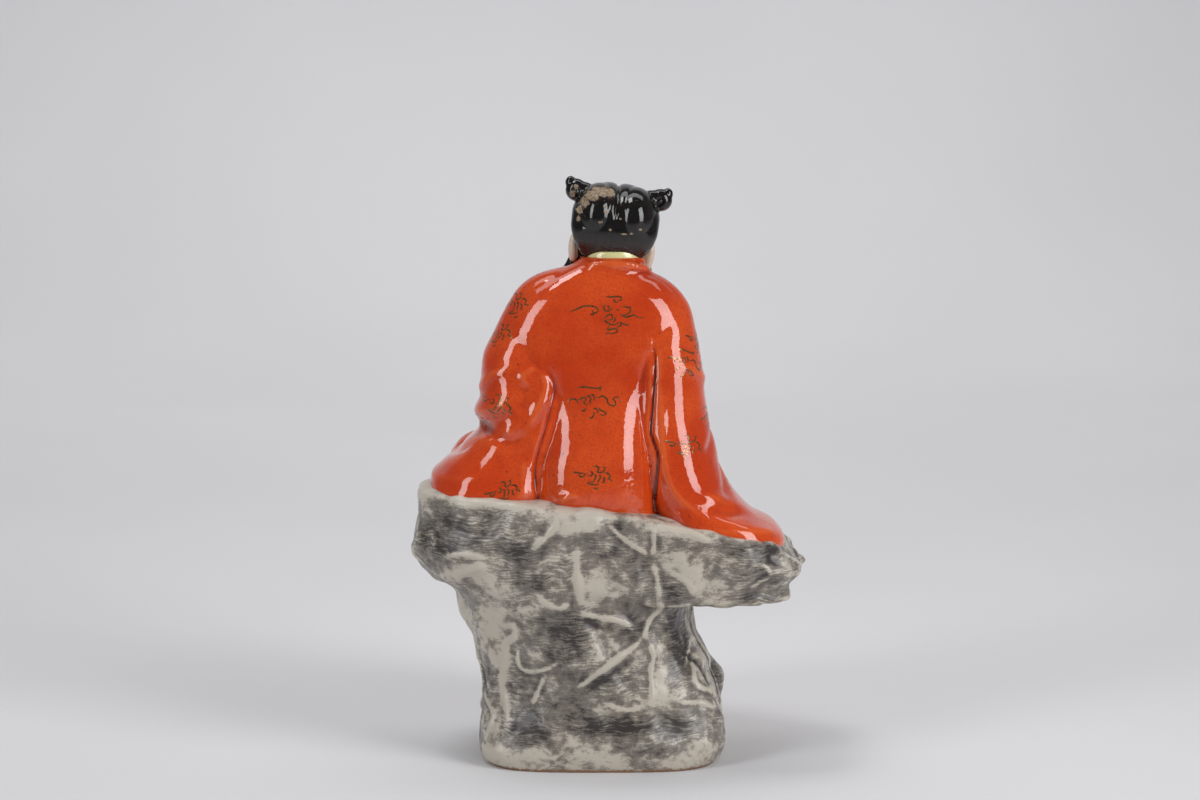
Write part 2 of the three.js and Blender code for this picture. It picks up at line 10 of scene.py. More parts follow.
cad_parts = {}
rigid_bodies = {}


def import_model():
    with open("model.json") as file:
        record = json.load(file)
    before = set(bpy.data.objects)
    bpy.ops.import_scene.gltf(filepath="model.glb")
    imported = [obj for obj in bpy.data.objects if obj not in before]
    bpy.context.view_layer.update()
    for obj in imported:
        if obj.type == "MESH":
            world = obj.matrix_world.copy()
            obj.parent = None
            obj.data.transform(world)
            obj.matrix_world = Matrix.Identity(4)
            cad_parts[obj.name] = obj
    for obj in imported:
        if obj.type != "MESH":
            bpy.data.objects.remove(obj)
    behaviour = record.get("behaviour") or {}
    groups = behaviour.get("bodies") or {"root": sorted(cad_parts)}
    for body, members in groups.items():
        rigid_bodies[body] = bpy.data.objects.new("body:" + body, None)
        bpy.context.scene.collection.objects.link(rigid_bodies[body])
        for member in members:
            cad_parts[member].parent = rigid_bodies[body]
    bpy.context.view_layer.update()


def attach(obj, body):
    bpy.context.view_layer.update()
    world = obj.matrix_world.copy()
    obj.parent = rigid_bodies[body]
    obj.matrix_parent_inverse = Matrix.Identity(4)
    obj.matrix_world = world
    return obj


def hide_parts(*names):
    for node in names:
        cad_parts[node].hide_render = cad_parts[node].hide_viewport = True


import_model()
NODE = "seated_sage_on_rock"
MM = 0.001

# The figure's own measures, as in its CAD source
SEAT_HEIGHT = 146
SEAT_RISE_LEFT = 0.09
SEAT_DROP_RIGHT = 0.19
SEAT_DROP_FRONT = 0.13
SHELF_BOTTOM = 91
BODY_X = -5.5
HEAD_TILT = math.radians(7)
HEAD = np.array([BODY_X - 0.8, -6, 292])
KNEE_LEFT = (69, -36, 160)
KNEE_RIGHT = (-35, -75, 156)
FOOT_X, FOOT_Y = -26, -85
HAND_LENGTH = 31


# Numbers

def smoothstep(value, low, high):
    s = np.clip((value - low) / (high - low), 0, 1)
    return s * s * (3 - 2 * s)


def signed_power(value, power):
    return np.sign(value) * np.abs(value) ** power


def bump(distance, width):
    return np.exp(-(distance / width) ** 2)


def row_at(rows, t):
    """All columns of a table between its rows, smooth and without overshoot."""
    rows = np.asarray(rows, float)
    t = np.asarray(t, float)
    step = np.diff(rows, axis=0)
    slope = np.zeros_like(rows)
    slope[0], slope[-1] = step[0], step[-1]
    product = step[:-1] * step[1:]
    total = np.where(product > 0, step[:-1] + step[1:], 1)
    slope[1:-1] = np.where(product > 0, 2 * product / total, 0)
    i = np.clip(np.floor(t).astype(int), 0, len(rows) - 2)
    s = (t - i)[:, None]
    s2, s3 = s ** 2, s ** 3
    return (rows[i] * (2 * s3 - 3 * s2 + 1) + slope[i] * (s3 - 2 * s2 + s)
            + rows[i + 1] * (3 * s2 - 2 * s3) + slope[i + 1] * (s3 - s2))


def scatter(i, j, k):
    """Repeatable scatter, 0 to 1, for whole numbers."""
    v = np.sin(i * 127.1 + j * 311.7 + k * 74.7) * 43758.5453
    return v - np.floor(v)


def crag(points, cell, lift, tilt, soft, seed=0):
    """Parts the space into cells, and lifts or sinks each as one tilted plane."""
    base = np.floor(points / cell)
    found, lifts = [], []
    for offset in np.ndindex(3, 3, 3):
        a, b, c = (base + np.array(offset) - 1 + seed).T
        d = points.T - np.array([a - seed + scatter(a, b, c), b - seed + scatter(b, c, a + 7),
                                 c - seed + scatter(c, a, b + 3)]) * cell
        found.append(np.sqrt((d ** 2).sum(0)))
        lifts.append(lift * (2 * scatter(a + 5, b, c) - 1) + tilt * (
            d[0] * (2 * scatter(a, b + 9, c) - 1) + d[1] * (2 * scatter(a, b, c + 11) - 1)
            + d[2] * (2 * scatter(a + 2, b + 4, c) - 1)))
    found = np.array(found)
    weight = np.exp(-(found - found.min(0)) / soft)
    return (weight * np.array(lifts)).sum(0) / weight.sum(0)


# Closed forms, each a pair of points and faces

def lofted(sections):
    rings, sides = sections.shape[:2]
    points = sections.reshape(-1, 3)
    index = np.arange(rings * sides).reshape(rings, sides)
    turned = np.roll(index, -1, axis=1)
    quads = np.stack([index[:-1], turned[:-1], turned[1:], index[1:]], -1).reshape(-1, 4).tolist()
    ends = np.array([sections[0].mean(0), sections[-1].mean(0)])
    low, high = rings * sides, rings * sides + 1
    quads += [[low, b, a] for a, b in zip(index[0], turned[0])]
    quads += [[high, a, b] for a, b in zip(index[-1], turned[-1])]
    return np.vstack([points, ends]), quads


def even_angles(table, sides):
    """Angles that space the points of each level evenly along its outline."""
    quarter = np.linspace(0, 1, 160)[:-1]
    for _ in range(2):
        quarter = (1 - np.cos(math.pi * quarter)) / 2
    dense = np.concatenate([quarter + k for k in range(4)] + [[4.0]]) * math.pi / 2
    spread = []
    for _, left, right, back, front, square in table:
        x = (left - right) / 2 * signed_power(np.cos(dense), square)
        y = (back - front) / 2 * signed_power(np.sin(dense), square)
        run = np.concatenate([[0], np.cumsum(np.hypot(np.diff(x), np.diff(y)))])
        spread.append(np.interp(np.arange(sides) / sides * run[-1], run, dense))
    return np.array(spread)


def levels(rows, rings, sides, relief=None, lean=None):
    """A row is [height, left edge, right edge, back edge, front edge, squareness]."""
    share = np.linspace(0, 1, rings + 1)
    table = row_at(rows, share * (len(rows) - 1))
    angle = even_angles(table, sides)
    z, left, right, back, front, square = (column[:, None] for column in table.T)
    x = (left + right) / 2 + (left - right) / 2 * signed_power(np.cos(angle), square)
    y = (back + front) / 2 + (back - front) / 2 * signed_power(np.sin(angle), square)
    z = z + (lean(x, y, z) if lean else np.zeros_like(x))
    if relief:
        out = relief(x, y, z, angle, share[:, None])
        x, y = x + out * np.cos(angle), y + out * np.sin(angle)
    return lofted(np.stack([x, y, z], -1))


def limb(rows, rings, sides, up=(0, 0, 1), relief=None, mouth=()):
    """A row is [x, y, z, half width, half depth]. Depth lies along up. A mouth turns the far end in."""
    last = len(rows) - 1
    t = np.linspace(0, last, rings + 1)
    table = row_at(rows, t)
    along = row_at(rows, np.minimum(t + 0.01, last))[:, :3] - row_at(rows, np.maximum(t - 0.01, 0))[:, :3]
    along /= np.linalg.norm(along, axis=1, keepdims=True)
    side = np.cross(np.array(up, float), along)
    side /= np.linalg.norm(side, axis=1, keepdims=True)
    top = np.cross(along, side)
    angle = np.arange(sides) / sides * 2 * math.pi
    reach = 1 + (relief(angle[None], t[:, None] / last) if relief else np.zeros((len(t), sides)))
    across = side[:, None] * (table[:, 3:4] * np.cos(angle) * reach)[..., None]
    sections = table[:, None, :3] + across + top[:, None] * (table[:, 4:5] * np.sin(angle) * reach)[..., None]
    for depth, scale in mouth:
        centre = table[-1, :3]
        ring = centre + (sections[rings] - centre) * scale - along[-1] * depth
        sections = np.concatenate([sections, ring[None]])
    return lofted(sections)


def egg(centre, radii, rings=60, sides=90):
    rise = np.linspace(0.001, math.pi - 0.001, rings)[:, None]
    turn = np.arange(sides)[None] / sides * 2 * math.pi
    shape = np.stack([np.sin(rise) * np.cos(turn), np.sin(rise) * np.sin(turn),
                      -np.cos(rise) + 0 * turn], -1)
    return lofted(shape * np.array(radii, float) + np.array(centre, float))


def on_neck(form):
    """Leans a form that was built upright about the middle of the head, and sets it on the neck."""
    points, faces = form
    c, s = math.cos(-HEAD_TILT), math.sin(-HEAD_TILT)
    x, y, z = points.T
    return np.stack([x * c + z * s, y, z * c - x * s], -1) + HEAD, faces


def head_space(points):
    """Points of the part in the upright space of the head."""
    c, s = math.cos(HEAD_TILT), math.sin(HEAD_TILT)
    x, y, z = (points - HEAD).T
    return np.stack([x * c + z * s, y, z * c - x * s], -1)


# Skins: one closed surface around several overlapping forms

class Skin:
    def __init__(self, points, quads):
        self.points = points
        self.quads = quads
        self.marks = {}
        pairs = np.concatenate([quads[:, [k, (k + 1) % 4]] for k in range(4)])
        pairs.sort(axis=1)
        self.edges = np.unique(pairs[pairs[:, 0] != pairs[:, 1]], axis=0)
        self.count = np.bincount(self.edges.ravel(), minlength=len(points))

    def spread(self, values):
        """The mean of each point's neighbours."""
        a, b = self.edges.T
        columns = [np.bincount(a, v[b], len(self.count)) + np.bincount(b, v[a], len(self.count))
                   for v in values.T]
        return np.stack(columns, -1) / np.maximum(self.count, 1)[:, None]

    def soften(self, rounds, where=None):
        """Rounds off small forms and keeps the large ones their size."""
        for share in (0.5, -0.53) * rounds:
            weight = share if where is None else share * where[:, None]
            self.points = self.points + weight * (self.spread(self.points) - self.points)
        return self

    def normals(self):
        p = self.points[self.quads]
        flat = np.cross(p[:, 2] - p[:, 0], p[:, 3] - p[:, 1])
        out = np.stack([sum(np.bincount(self.quads[:, k], flat[:, axis], len(self.points)) for k in range(4))
                        for axis in range(3)], -1)
        return out / np.maximum(np.linalg.norm(out, axis=1, keepdims=True), 1e-12)

    def press(self, amount):
        self.points = self.points + self.normals() * amount[:, None]
        return self

    def hollow(self, rounds):
        """How far each point lies in a hollow, or with a minus sign on a ridge, in millimetres."""
        soft = self.points
        for _ in range(rounds):
            soft = soft + 0.5 * (self.spread(soft) - soft)
        return ((soft - self.points) * self.normals()).sum(1)


def outer_part(points, quads):
    """Drops everything that isn't joined to the biggest skin."""
    label = np.arange(len(points))
    a, b = np.concatenate([quads[:, [k, (k + 1) % 4]] for k in range(4)]).T
    while True:
        low = np.minimum(label[a], label[b])
        if (low == label[a]).all() and (low == label[b]).all():
            break
        np.minimum.at(label, label[a], low)
        np.minimum.at(label, label[b], low)
        label = label[label]
    kept = label == np.bincount(label).argmax()
    number = np.cumsum(kept) - 1
    return points[kept], number[quads[kept[quads[:, 0]]]]


def fused(forms, voxel, single=True):
    vertices, faces, start = [], [], 0
    for points, own in forms:
        vertices.append(points)
        faces += [[v + start for v in face] for face in own]
        start += len(points)
    mesh = bpy.data.meshes.new("raw")
    mesh.from_pydata((np.vstack(vertices) * MM).tolist(), [], faces)
    raw = bpy.data.objects.new("raw", mesh)
    bpy.context.scene.collection.objects.link(raw)
    modifier = raw.modifiers.new("skin", "REMESH")
    modifier.mode = "VOXEL"
    modifier.voxel_size = voxel * MM
    done = bpy.data.meshes.new_from_object(raw.evaluated_get(bpy.context.evaluated_depsgraph_get()))
    points = np.zeros(len(done.vertices) * 3)
    done.vertices.foreach_get("co", points)
    corners = np.zeros(len(done.loops), int)
    done.loops.foreach_get("vertex_index", corners)
    quads = corners.reshape(-1, 4)
    for data in (raw, mesh, done):
        (bpy.data.objects if data is raw else bpy.data.meshes).remove(data)
    points = points.reshape(-1, 3) / MM
    if single:
        points, quads = outer_part(points, quads)
    return Skin(points, quads)


def shown(name, skin, material, smooth=True):
    mesh = bpy.data.meshes.new(name)
    quads = skin.quads.tolist() if isinstance(skin.quads, np.ndarray) else skin.quads
    mesh.from_pydata((skin.points * MM).tolist(), [], quads)
    for mark, values in skin.marks.items():
        mesh.attributes.new(mark, "FLOAT", "POINT").data.foreach_set("value", values.astype(np.float32))
    mesh.polygons.foreach_set("use_smooth", [smooth] * len(mesh.polygons))
    mesh.materials.append(material)
    mesh.update()
    piece = bpy.data.objects.new(name, mesh)
    bpy.context.scene.collection.objects.link(piece)
    return piece


# Drawn lines that press into a skin or stand out of it

def along_line(across, up, line):
    """Distance of each point to a line, and how far along the line it is, 0 to 1."""
    line = np.array(line, float)
    ends = np.diff(line, axis=0)
    lengths = np.hypot(*ends.T)
    run = np.concatenate([[0], np.cumsum(lengths)])
    best = np.full(len(across), 1e9)
    place = np.zeros(len(across))
    for k, (dx, dy) in enumerate(ends):
        s = np.clip(((across - line[k, 0]) * dx + (up - line[k, 1]) * dy) / lengths[k] ** 2, 0, 1)
        distance = np.hypot(across - line[k, 0] - s * dx, up - line[k, 1] - s * dy)
        nearer = distance < best
        best = np.where(nearer, distance, best)
        place = np.where(nearer, (run[k] + s * lengths[k]) / run[-1], place)
    return best, place


def curved(line, per=6):
    """The same line, rounded at its corners."""
    line = np.array(line, float)
    padded = np.vstack([2 * line[0] - line[1], line, 2 * line[-1] - line[-2]])
    out = []
    for k in range(1, len(line)):
        a, b, c, d = padded[k - 1:k + 3]
        for s in np.arange(per) / per:
            out.append(0.5 * (2 * b + (c - a) * s + (2 * a - 5 * b + 4 * c - d) * s ** 2
                              + (3 * b - a - 3 * c + d) * s ** 3))
    out.append(line[-1])
    return np.array(out)


SIDES = {"back": (0, (0, 1, 0)), "front": (0, (0, -1, 0)), "left": (1, (1, 0, 0)), "right": (1, (-1, 0, 0))}


def drawn(skin, view, line, width, fade=0.25):
    """How strongly a line drawn on one side of a skin marks each point, 0 to 1. It thins out at both ends."""
    axis, facing = SIDES[view]
    distance, place = along_line(skin.points[:, axis], skin.points[:, 2], curved(line))
    towards = skin.normals() @ np.array(facing, float)
    ends = smoothstep(place, -0.02, fade) * (1 - smoothstep(place, 1 - fade, 1.02)) if fade else 1
    return bump(distance, width) * ends * smoothstep(towards, 0.05, 0.35)


def folded(skin, folds):
    """Each fold is [view, depth, width, line], with a groove's depth below zero."""
    for view, depth, width, line in folds:
        skin.press(depth * drawn(skin, view, line, width))
    return skin


# The rock

def seat_lean(x, y, z):
    share = smoothstep(z, SHELF_BOTTOM, SEAT_HEIGHT - 8)
    return share * (x * np.where(x > 0, SEAT_RISE_LEFT, SEAT_DROP_RIGHT) + SEAT_DROP_FRONT * np.minimum(y, 0))


def cragged(top):
    def relief(x, y, z, angle, share):
        x, y, z = np.broadcast_arrays(x, y, z)
        points = np.stack([x, y, z], -1).reshape(-1, 3)
        lift = crag(points, 27, 3.4, 0.17, 3.5).reshape(x.shape)
        return lift * smoothstep(z, 0, 14) * (1 - smoothstep(z - seat_lean(x, y, z), top - 9, top))
    return relief


def rock_forms():
    block = [
        [0, 65, -63.5, 50, -67, 0.5], [4, 68.5, -67, 51.5, -70, 0.5], [20, 69.5, -68.5, 52, -72, 0.56],
        [36, 67, -67, 50, -71, 0.62], [52, 66, -57.5, 48, -68, 0.66], [66, 69, -51, 48, -66, 0.68],
        [79, 76, -48, 49, -65, 0.7], [91, 80, -48, 50, -65, 0.7], [103, 98, -74, 52, -67, 0.68],
        [115, 102, -80, 54, -70, 0.66], [128, 100.5, -82, 55, -72, 0.66], [140, 102.5, -80, 54, -71, 0.66],
        [SEAT_HEIGHT - 1, 96, -70, 48, -65, 0.7], [SEAT_HEIGHT, 60, -50, 24, -40, 0.8]]
    shelf = [
        [SHELF_BOTTOM, 0, -100, 44, -54, 0.6], [SHELF_BOTTOM + 2, 2, -105.5, 49, -61, 0.6],
        [101, 4, -105, 51, -65, 0.64], [112, 6, -110, 53, -68, 0.66], [124, 10, -113.5, 54, -70, 0.66],
        [139, 12, -104.5, 53, -69, 0.66], [SEAT_HEIGHT - 2, 10, -98, 48, -63, 0.7],
        [SEAT_HEIGHT - 1, 0, -84, 30, -44, 0.8]]
    x = FOOT_X
    ledge = [
        [0, x + 62, x - 22, -40, -92, 0.62], [9, x + 65, x - 24, -40, -98, 0.62],
        [24, x + 60, x - 24, -40, -105, 0.64], [40, x + 52, x - 22, -40, -111, 0.66],
        [51, x + 44, x - 20, -40, -111, 0.68], [55, x + 34, x - 15, -44, -104, 0.74]]

    def fall(px, py, pz):
        return -0.12 * np.abs(px - x) * smoothstep(pz, 20, 50)

    return [levels(block, 150, 320, cragged(SEAT_HEIGHT), seat_lean),
            levels(shelf, 60, 260, cragged(SEAT_HEIGHT), seat_lean),
            levels(ledge, 60, 180, cragged(60), fall)]


ROCK_LINES = [
    ["back", 1.3, 1.2, [(-27.2, 136), (-27.7, 127), (-26.6, 120)]],
    ["back", 1.1, 1.1, [(-2, 139), (-10.5, 131), (-19.5, 124.6), (-26.4, 120.4)]],
    ["back", 0.7, 1.6, [(-27, 118), (-30, 106), (-30.7, 95)]],
    ["back", 1.5, 1.3, [(-30, 98), (-31.4, 90), (-26.2, 84), (-23.2, 76.3), (-26.2, 70)]],
    ["back", 1.5, 1.2, [(-25, 72), (-27.7, 64), (-26.2, 55), (-27, 45.7), (-26.2, 37)]],
    ["back", 1.2, 1.1, [(-30.4, 90), (-40.4, 92.6), (-49, 93)]],
    ["back", 1.3, 1.4, [(-23.7, 76), (-18, 70), (-7.6, 63.3), (1.4, 56.4), (8.8, 50.3), (17, 44)]],
    ["back", -1.0, 2.2, [(-20, 65), (-10, 59), (0, 51), (8, 45)]],
    ["back", 1.3, 1.1, [(45.4, 69), (46.3, 62.5), (44.3, 57), (38.6, 55.4), (29.7, 58), (21.5, 62)]],
    ["back", 1.0, 1.1, [(31.2, 55), (33.4, 48.7), (36.4, 41), (39, 35)]],
    ["back", 1.3, 1.7, [(15, 89.5), (4.4, 87), (-6.1, 84.7), (-13.5, 81.7), (-18.6, 75)]],
    ["back", -0.8, 2.4, [(12, 84), (2, 81), (-8, 78)]],
    ["back", 1.4, 1.1, [(-49.4, 62), (-50.5, 48.7), (-54.5, 43.4), (-60.5, 39.5), (-63, 31)]],
    ["back", 1.1, 1.0, [(-41.8, 37.4), (-49.3, 37.2), (-56.8, 35), (-62.6, 31)]],
    ["back", 1.3, 1.1, [(-79, 102), (-85.1, 106.2), (-91.5, 109)]],
    ["back", 1.0, 1.2, [(-79, 116.6), (-88.1, 114.6), (-92, 108)]],
    ["back", -0.9, 2.0, [(-96, 124), (-91, 119), (-97, 113)]],
    ["back", 1.2, 2.2, [(50.6, 87), (47.6, 76.3), (52.1, 70), (53.5, 58), (55, 45.7), (52, 30), (55, 16)]],
    ["back", 1.2, 2.0, [(23, 140), (31.2, 131.5), (39.5, 124.5)]],
    ["back", 0.9, 2.4, [(13.3, 128), (14, 116), (13.3, 104), (11.8, 91)]],
    ["back", 1.4, 2.6, [(82, 107), (70, 113), (62, 117)]], ["back", 1.0, 1.6, [(88, 118), (76, 121), (60, 119)]],
    ["back", 0.9, 1.5, [(-44, 136), (-52, 131), (-60, 128)]], ["back", 0.8, 1.4, [(-36, 112), (-46, 106), (-50, 98)]],
    ["back", 0.8, 1.4, [(36, 98), (26, 92), (17, 93)]], ["back", 0.7, 1.3, [(0, 40), (-12, 35), (-24, 37)]],
    ["front", 1.6, 1.7, [(20, 130), (30, 104), (22, 80), (34, 58)]],
    ["front", 1.3, 1.4, [(34, 96), (52, 90), (66, 72)]],
    ["front", 1.4, 1.6, [(-62, 128), (-70, 112), (-58, 100)]],
    ["front", 1.3, 1.4, [(-52, 80), (-44, 56), (-54, 30)]],
    ["front", 1.2, 1.3, [(60, 124), (72, 112), (86, 116)]], ["front", 1.2, 1.3, [(48, 46), (60, 30), (56, 12)]],
    ["front", -1.2, 2.2, [(44, 74), (58, 50), (52, 26)]],
    ["front", 1.2, 1.3, [(-10, 44), (-22, 30), (-18, 12)]], ["front", 1.1, 1.2, [(-22, 30), (-38, 26), (-44, 14)]],
    ["left", 1.5, 1.6, [(-40, 128), (-22, 112), (4, 118), (30, 104)]],
    ["left", 1.4, 1.4, [(24, 90), (6, 66), (12, 40), (-8, 18)]],
    ["left", 1.2, 1.2, [(6, 66), (-16, 58), (-34, 64)]], ["left", 1.2, 1.3, [(12, 40), (30, 30), (34, 14)]],
    ["left", -1.2, 2.4, [(-48, 84), (-30, 60), (-38, 30)]],
    ["right", 1.4, 1.4, [(-30, 84), (-8, 62), (-14, 38), (10, 20)]],
    ["right", 1.4, 1.4, [(36, 120), (12, 108), (-12, 118), (-40, 106)]],
    ["right", 1.2, 1.2, [(-8, 62), (14, 66), (34, 54)]],
    ["right", -1.2, 2.4, [(34, 70), (20, 50), (30, 26)]]]

# Where the brush left the wash dark or thin: [view, across, up, half width, half height, strength]
WASH_DABS = [
    ["back", 70, 133, 26, 12, 0.75], ["back", 44.6, 122, 8, 9, 0.7], ["back", 38.6, 108, 16, 7, 0.5],
    ["back", -2, 126, 16, 10, 0.35], ["back", 14, 77, 13, 12, 0.85], ["back", -15, 79, 8, 6, 0.55],
    ["back", 26, 66, 18, 8, 0.35], ["back", -5, 50, 15, 8, 0.65], ["back", -42, 64, 6.5, 14, 0.95],
    ["back", -41, 84, 8, 8, 0.55], ["back", -8, 26, 24, 4.5, 1.1], ["back", -42, 24, 14, 6, 0.8],
    ["back", 43, 24, 13, 9, 0.8], ["back", 49, 48, 6, 9, 0.4], ["back", -87, 124, 18, 5, 0.85],
    ["back", -84, 111, 17, 9, 0.5], ["back", -84, 95, 12, 3.5, 1.0], ["back", -42, 101, 9, 7, 0.6],
    ["back", -27, 13.5, 11, 4, 0.6], ["back", 88, 122, 8, 8, 0.5], ["back", 24, 116, 12, 8, 0.4],
    ["back", -20, 112, 10, 10, 0.3], ["back", 19, 139, 15, 4, -0.6], ["back", 4, 76, 7, 6, -0.6],
    ["back", -32, 55, 4.5, 15, -0.75], ["back", 37, 64, 8, 6, -0.5], ["back", 58, 74, 7, 18, -0.55],
    ["back", -11, 64, 9, 5, -0.45], ["back", -18, 89, 13, 5, -0.35], ["back", -53, 108, 10, 8, -0.4],
    ["back", 5, 110, 8, 12, -0.25], ["back", 0, 8, 70, 5, -0.55], ["back", 74, 111, 10, 5, -0.45],
    ["back", 13, 18, 13, 4, -0.4], ["back", 60, 22, 5, 12, -0.35],
    ["front", 40, 112, 26, 10, 0.7], ["front", 30, 30, 22, 9, 0.8], ["front", -70, 108, 18, 8, 0.8],
    ["front", -48, 50, 12, 16, 0.7], ["front", 70, 126, 16, 6, 0.7], ["front", 54, 84, 12, 12, -0.5],
    ["front", -20, 22, 14, 8, 0.6], ["front", 8, 60, 16, 12, 0.5],
    ["left", -20, 104, 22, 9, 0.7], ["left", 18, 44, 16, 14, 0.7], ["left", -40, 20, 20, 8, 0.7],
    ["left", 8, 76, 12, 10, -0.5], ["left", 20, 124, 20, 6, 0.6], ["right", 10, 110, 22, 8, 0.8],
    ["right", -20, 40, 18, 14, 0.7], ["right", 26, 76, 14, 9, 0.6], ["right", 4, 56, 10, 12, -0.5]]


def wash_density(skin):
    total = np.zeros(len(skin.points))
    normals = skin.normals()
    for view, across, up, wide, tall, strength in WASH_DABS:
        axis, facing = SIDES[view]
        towards = smoothstep(normals @ np.array(facing, float), 0.0, 0.5)
        reach = ((skin.points[:, axis] - across) / wide) ** 2 + ((skin.points[:, 2] - up) / tall) ** 2
        total += strength * np.exp(-reach) * towards
    return total


def build_rock():
    skin = fused(rock_forms(), 1.28)
    skin.soften(3)
    skin.press(crag(skin.points, 11, 0.75, 0.11, 1.3, seed=40) * smoothstep(skin.points[:, 2], 2, 16))
    skin.soften(1)
    folded(skin, ROCK_LINES)
    skin.soften(1)
    z = skin.points[:, 2]
    skin.points[:, 2] = np.where(z < 0.45, 0, z)
    x, y, z = skin.points.T
    # Painted light: the upward-facing top rim under the seat takes less ink, so it reads lighter as if lit from above
    lip = smoothstep(z - seat_lean(x, y, z), SEAT_HEIGHT - 8, SEAT_HEIGHT - 3) * smoothstep(skin.normals()[:, 2], 0.1, 0.6)
    skin.marks = {"hollow": skin.hollow(8), "wash_and_painted_top_light": wash_density(skin) - 0.5 * lip, "lines": line_marks(skin, ROCK_LINES)}
    return skin


def line_marks(skin, folds):
    """The strongest ridge line at each point, and grooves with a minus sign."""
    total = np.zeros(len(skin.points))
    for view, depth, width, line in folds:
        mark = drawn(skin, view, line, width) * np.sign(depth)
        total = np.where(np.abs(mark) > np.abs(total), mark, total)
    return total


# The robe

def sleeves():
    left = [
        [142, 92, 30, 43, -42, 0.8], [150, 95.5, 24, 43, -44, 0.8], [158, 95, 18, 40, -44, 0.85],
        [164, 89.5, 14, 38, -42, 0.9], [171, 83, 12, 36.5, -40, 0.9], [180, 75, 11, 35, -38, 0.9],
        [187, 68.5, 11, 34, -36, 0.9], [195, 71, 11, 33, -33, 0.9], [203, 67.5, 12, 31.5, -29, 0.9],
        [214, 67, 14, 30, -25, 0.9], [224, 66, 14, 28, -23, 0.9], [237, 60, 13, 25, -21, 0.92],
        [250, 53.5, 10, 22, -19, 1], [262, 45.5, 2, 18, -16, 1], [269, 35, 0, 13, -12, 1], [273, 20, 4, 8, -8, 1]]
    right = [
        [116, -36, -96, 40, -30, 0.8], [127, -33, -101, 47, -38, 0.8], [133, -30, -96.5, 47, -40, 0.8],
        [138, -27, -84.5, 45, -41, 0.85], [145, -22, -76, 42, -41, 0.9], [153, -18, -70, 39.5, -40, 0.95],
        [164, -14, -65, 37, -38, 0.98], [177, -10, -62, 35, -35, 1], [190, -8, -58.6, 33, -32, 1],
        [204, -8, -56.4, 31.5, -28, 1], [218, -8, -55, 30, -24, 1], [230, -9, -53, 28, -22, 1],
        [240, -14, -51, 25, -20, 0.95], [250, -8, -48.5, 21.5, -18, 1], [260, -4, -42, 17, -15, 1],
        [267, -6, -33, 13, -11, 1], [271, -12, -24, 8, -7, 1]]

    def climb(x, y, z):
        return 0.35 * (67 - x) * smoothstep(z, 165, 187) * (1 - smoothstep(z, 200, 226))

    def spread(x, y, z):
        return (x + 34) * 0.1 * (1 - smoothstep(z, 116, 150))

    return [levels(left, 110, 120, None, climb), levels(right, 110, 120, None, spread)]


def torso():
    return levels([
        [136, 44, -36, 43, -40, 0.78], [150, 43.5, -35, 46, -42, 0.84], [166, 42.5, -34, 44.5, -38, 0.9],
        [184, 39, -33, 38.5, -31, 0.92], [200, 38.5, -32.5, 34, -27, 0.88], [212, 44, -35, 32.5, -25, 0.78],
        [224, 54, -41, 31.5, -24, 0.7], [235, 56, -46.5, 30.5, -23, 0.68], [246, 52, -46.5, 28.5, -21, 0.7],
        [257, 45, -41.5, 25.5, -18, 0.74], [265, 36, -34, 21.5, -15, 0.85], [271, 24, -24, 18.4, -12, 0.95],
        [276, 14, -23.5, 16.6, -12, 1], [278.6, 11, -22, 15, -12, 1]], 110, 160)


def legs():
    (lx, ly, lz), (rx, ry, rz) = KNEE_LEFT, KNEE_RIGHT
    return [
        limb([[16, 6, 160, 24, 22], [44, -14, 161, 23, 20], [lx, ly, lz, 19, 17],
              [lx + 13, ly - 8, lz - 3, 9, 9]], 40, 60),
        limb([[lx + 9, ly + 2, lz - 2, 9, 8], [lx - 4, ly - 11, lz - 3, 17, 16], [40, -54, 156, 16, 15],
              [12, -60, 154, 15, 14], [-8, -62, 153, 9, 10]], 40, 60),
        limb([[-26, 0, 158, 24, 22], [-31, -38, 162, 21, 19], [rx, ry, rz + 4, 18, 16],
              [rx, ry - 14, rz, 8, 8]], 40, 60)]


def skirts():
    x, y = FOOT_X, FOOT_Y

    def pleats(px, py, pz, angle, share):
        return 1.3 * (1 - share) * np.cos(11 * angle)

    def short(px, py, pz):
        return 0.3 * np.maximum(0, px - x - 14) * (1 - smoothstep(pz, 74, 140))

    return [
        levels([
            [70, x + 34, x - 20, -50, y - 19, 0.75], [84, x + 32, x - 20, -50, y - 17, 0.78],
            [112, x + 29, x - 23, -50, y - 12, 0.8], [140, x + 25, x - 27, -40, y - 9, 0.85],
            [158, x + 26, x - 28, -20, y - 6, 0.9], [170, x + 20, x - 24, 0, y + 4, 0.95],
            [176, x + 12, x - 16, 8, y + 20, 1]], 70, 130, pleats, short),
        levels([
            [117, 70, 14, -52, -74, 0.7], [126, 74, 8, -50, -77, 0.7], [140, 78, 4, -46, -77, 0.75],
            [150, 82, 0, -36, -74, 0.8], [160, 80, 0, -26, -66, 0.9], [166, 70, 6, -30, -58, 1]],
            44, 130, pleats, lambda px, py, pz: 0.08 * (px - 40))]


def forearm(elbow, wrist, droop):
    elbow, wrist = np.array(elbow, float), np.array(wrist, float)
    rows = []
    for share, width, depth, drop in [(0, 8, 8, 0), (0.35, 13, 14, 2), (0.8, 13, droop * 0.8, droop * 0.3),
                                      (1, 13, droop, droop * 0.45)]:
        rows.append([*(elbow + (wrist - elbow) * share - [0, 0, drop]), width, depth])

    def slack(angle, share):
        return 0.03 * share * np.cos(5 * angle + 1)

    return limb(rows, 40, 72, relief=slack, mouth=[(-0.7, 0.97), (0, 0.87), (3, 0.8), (9, 0.7)])


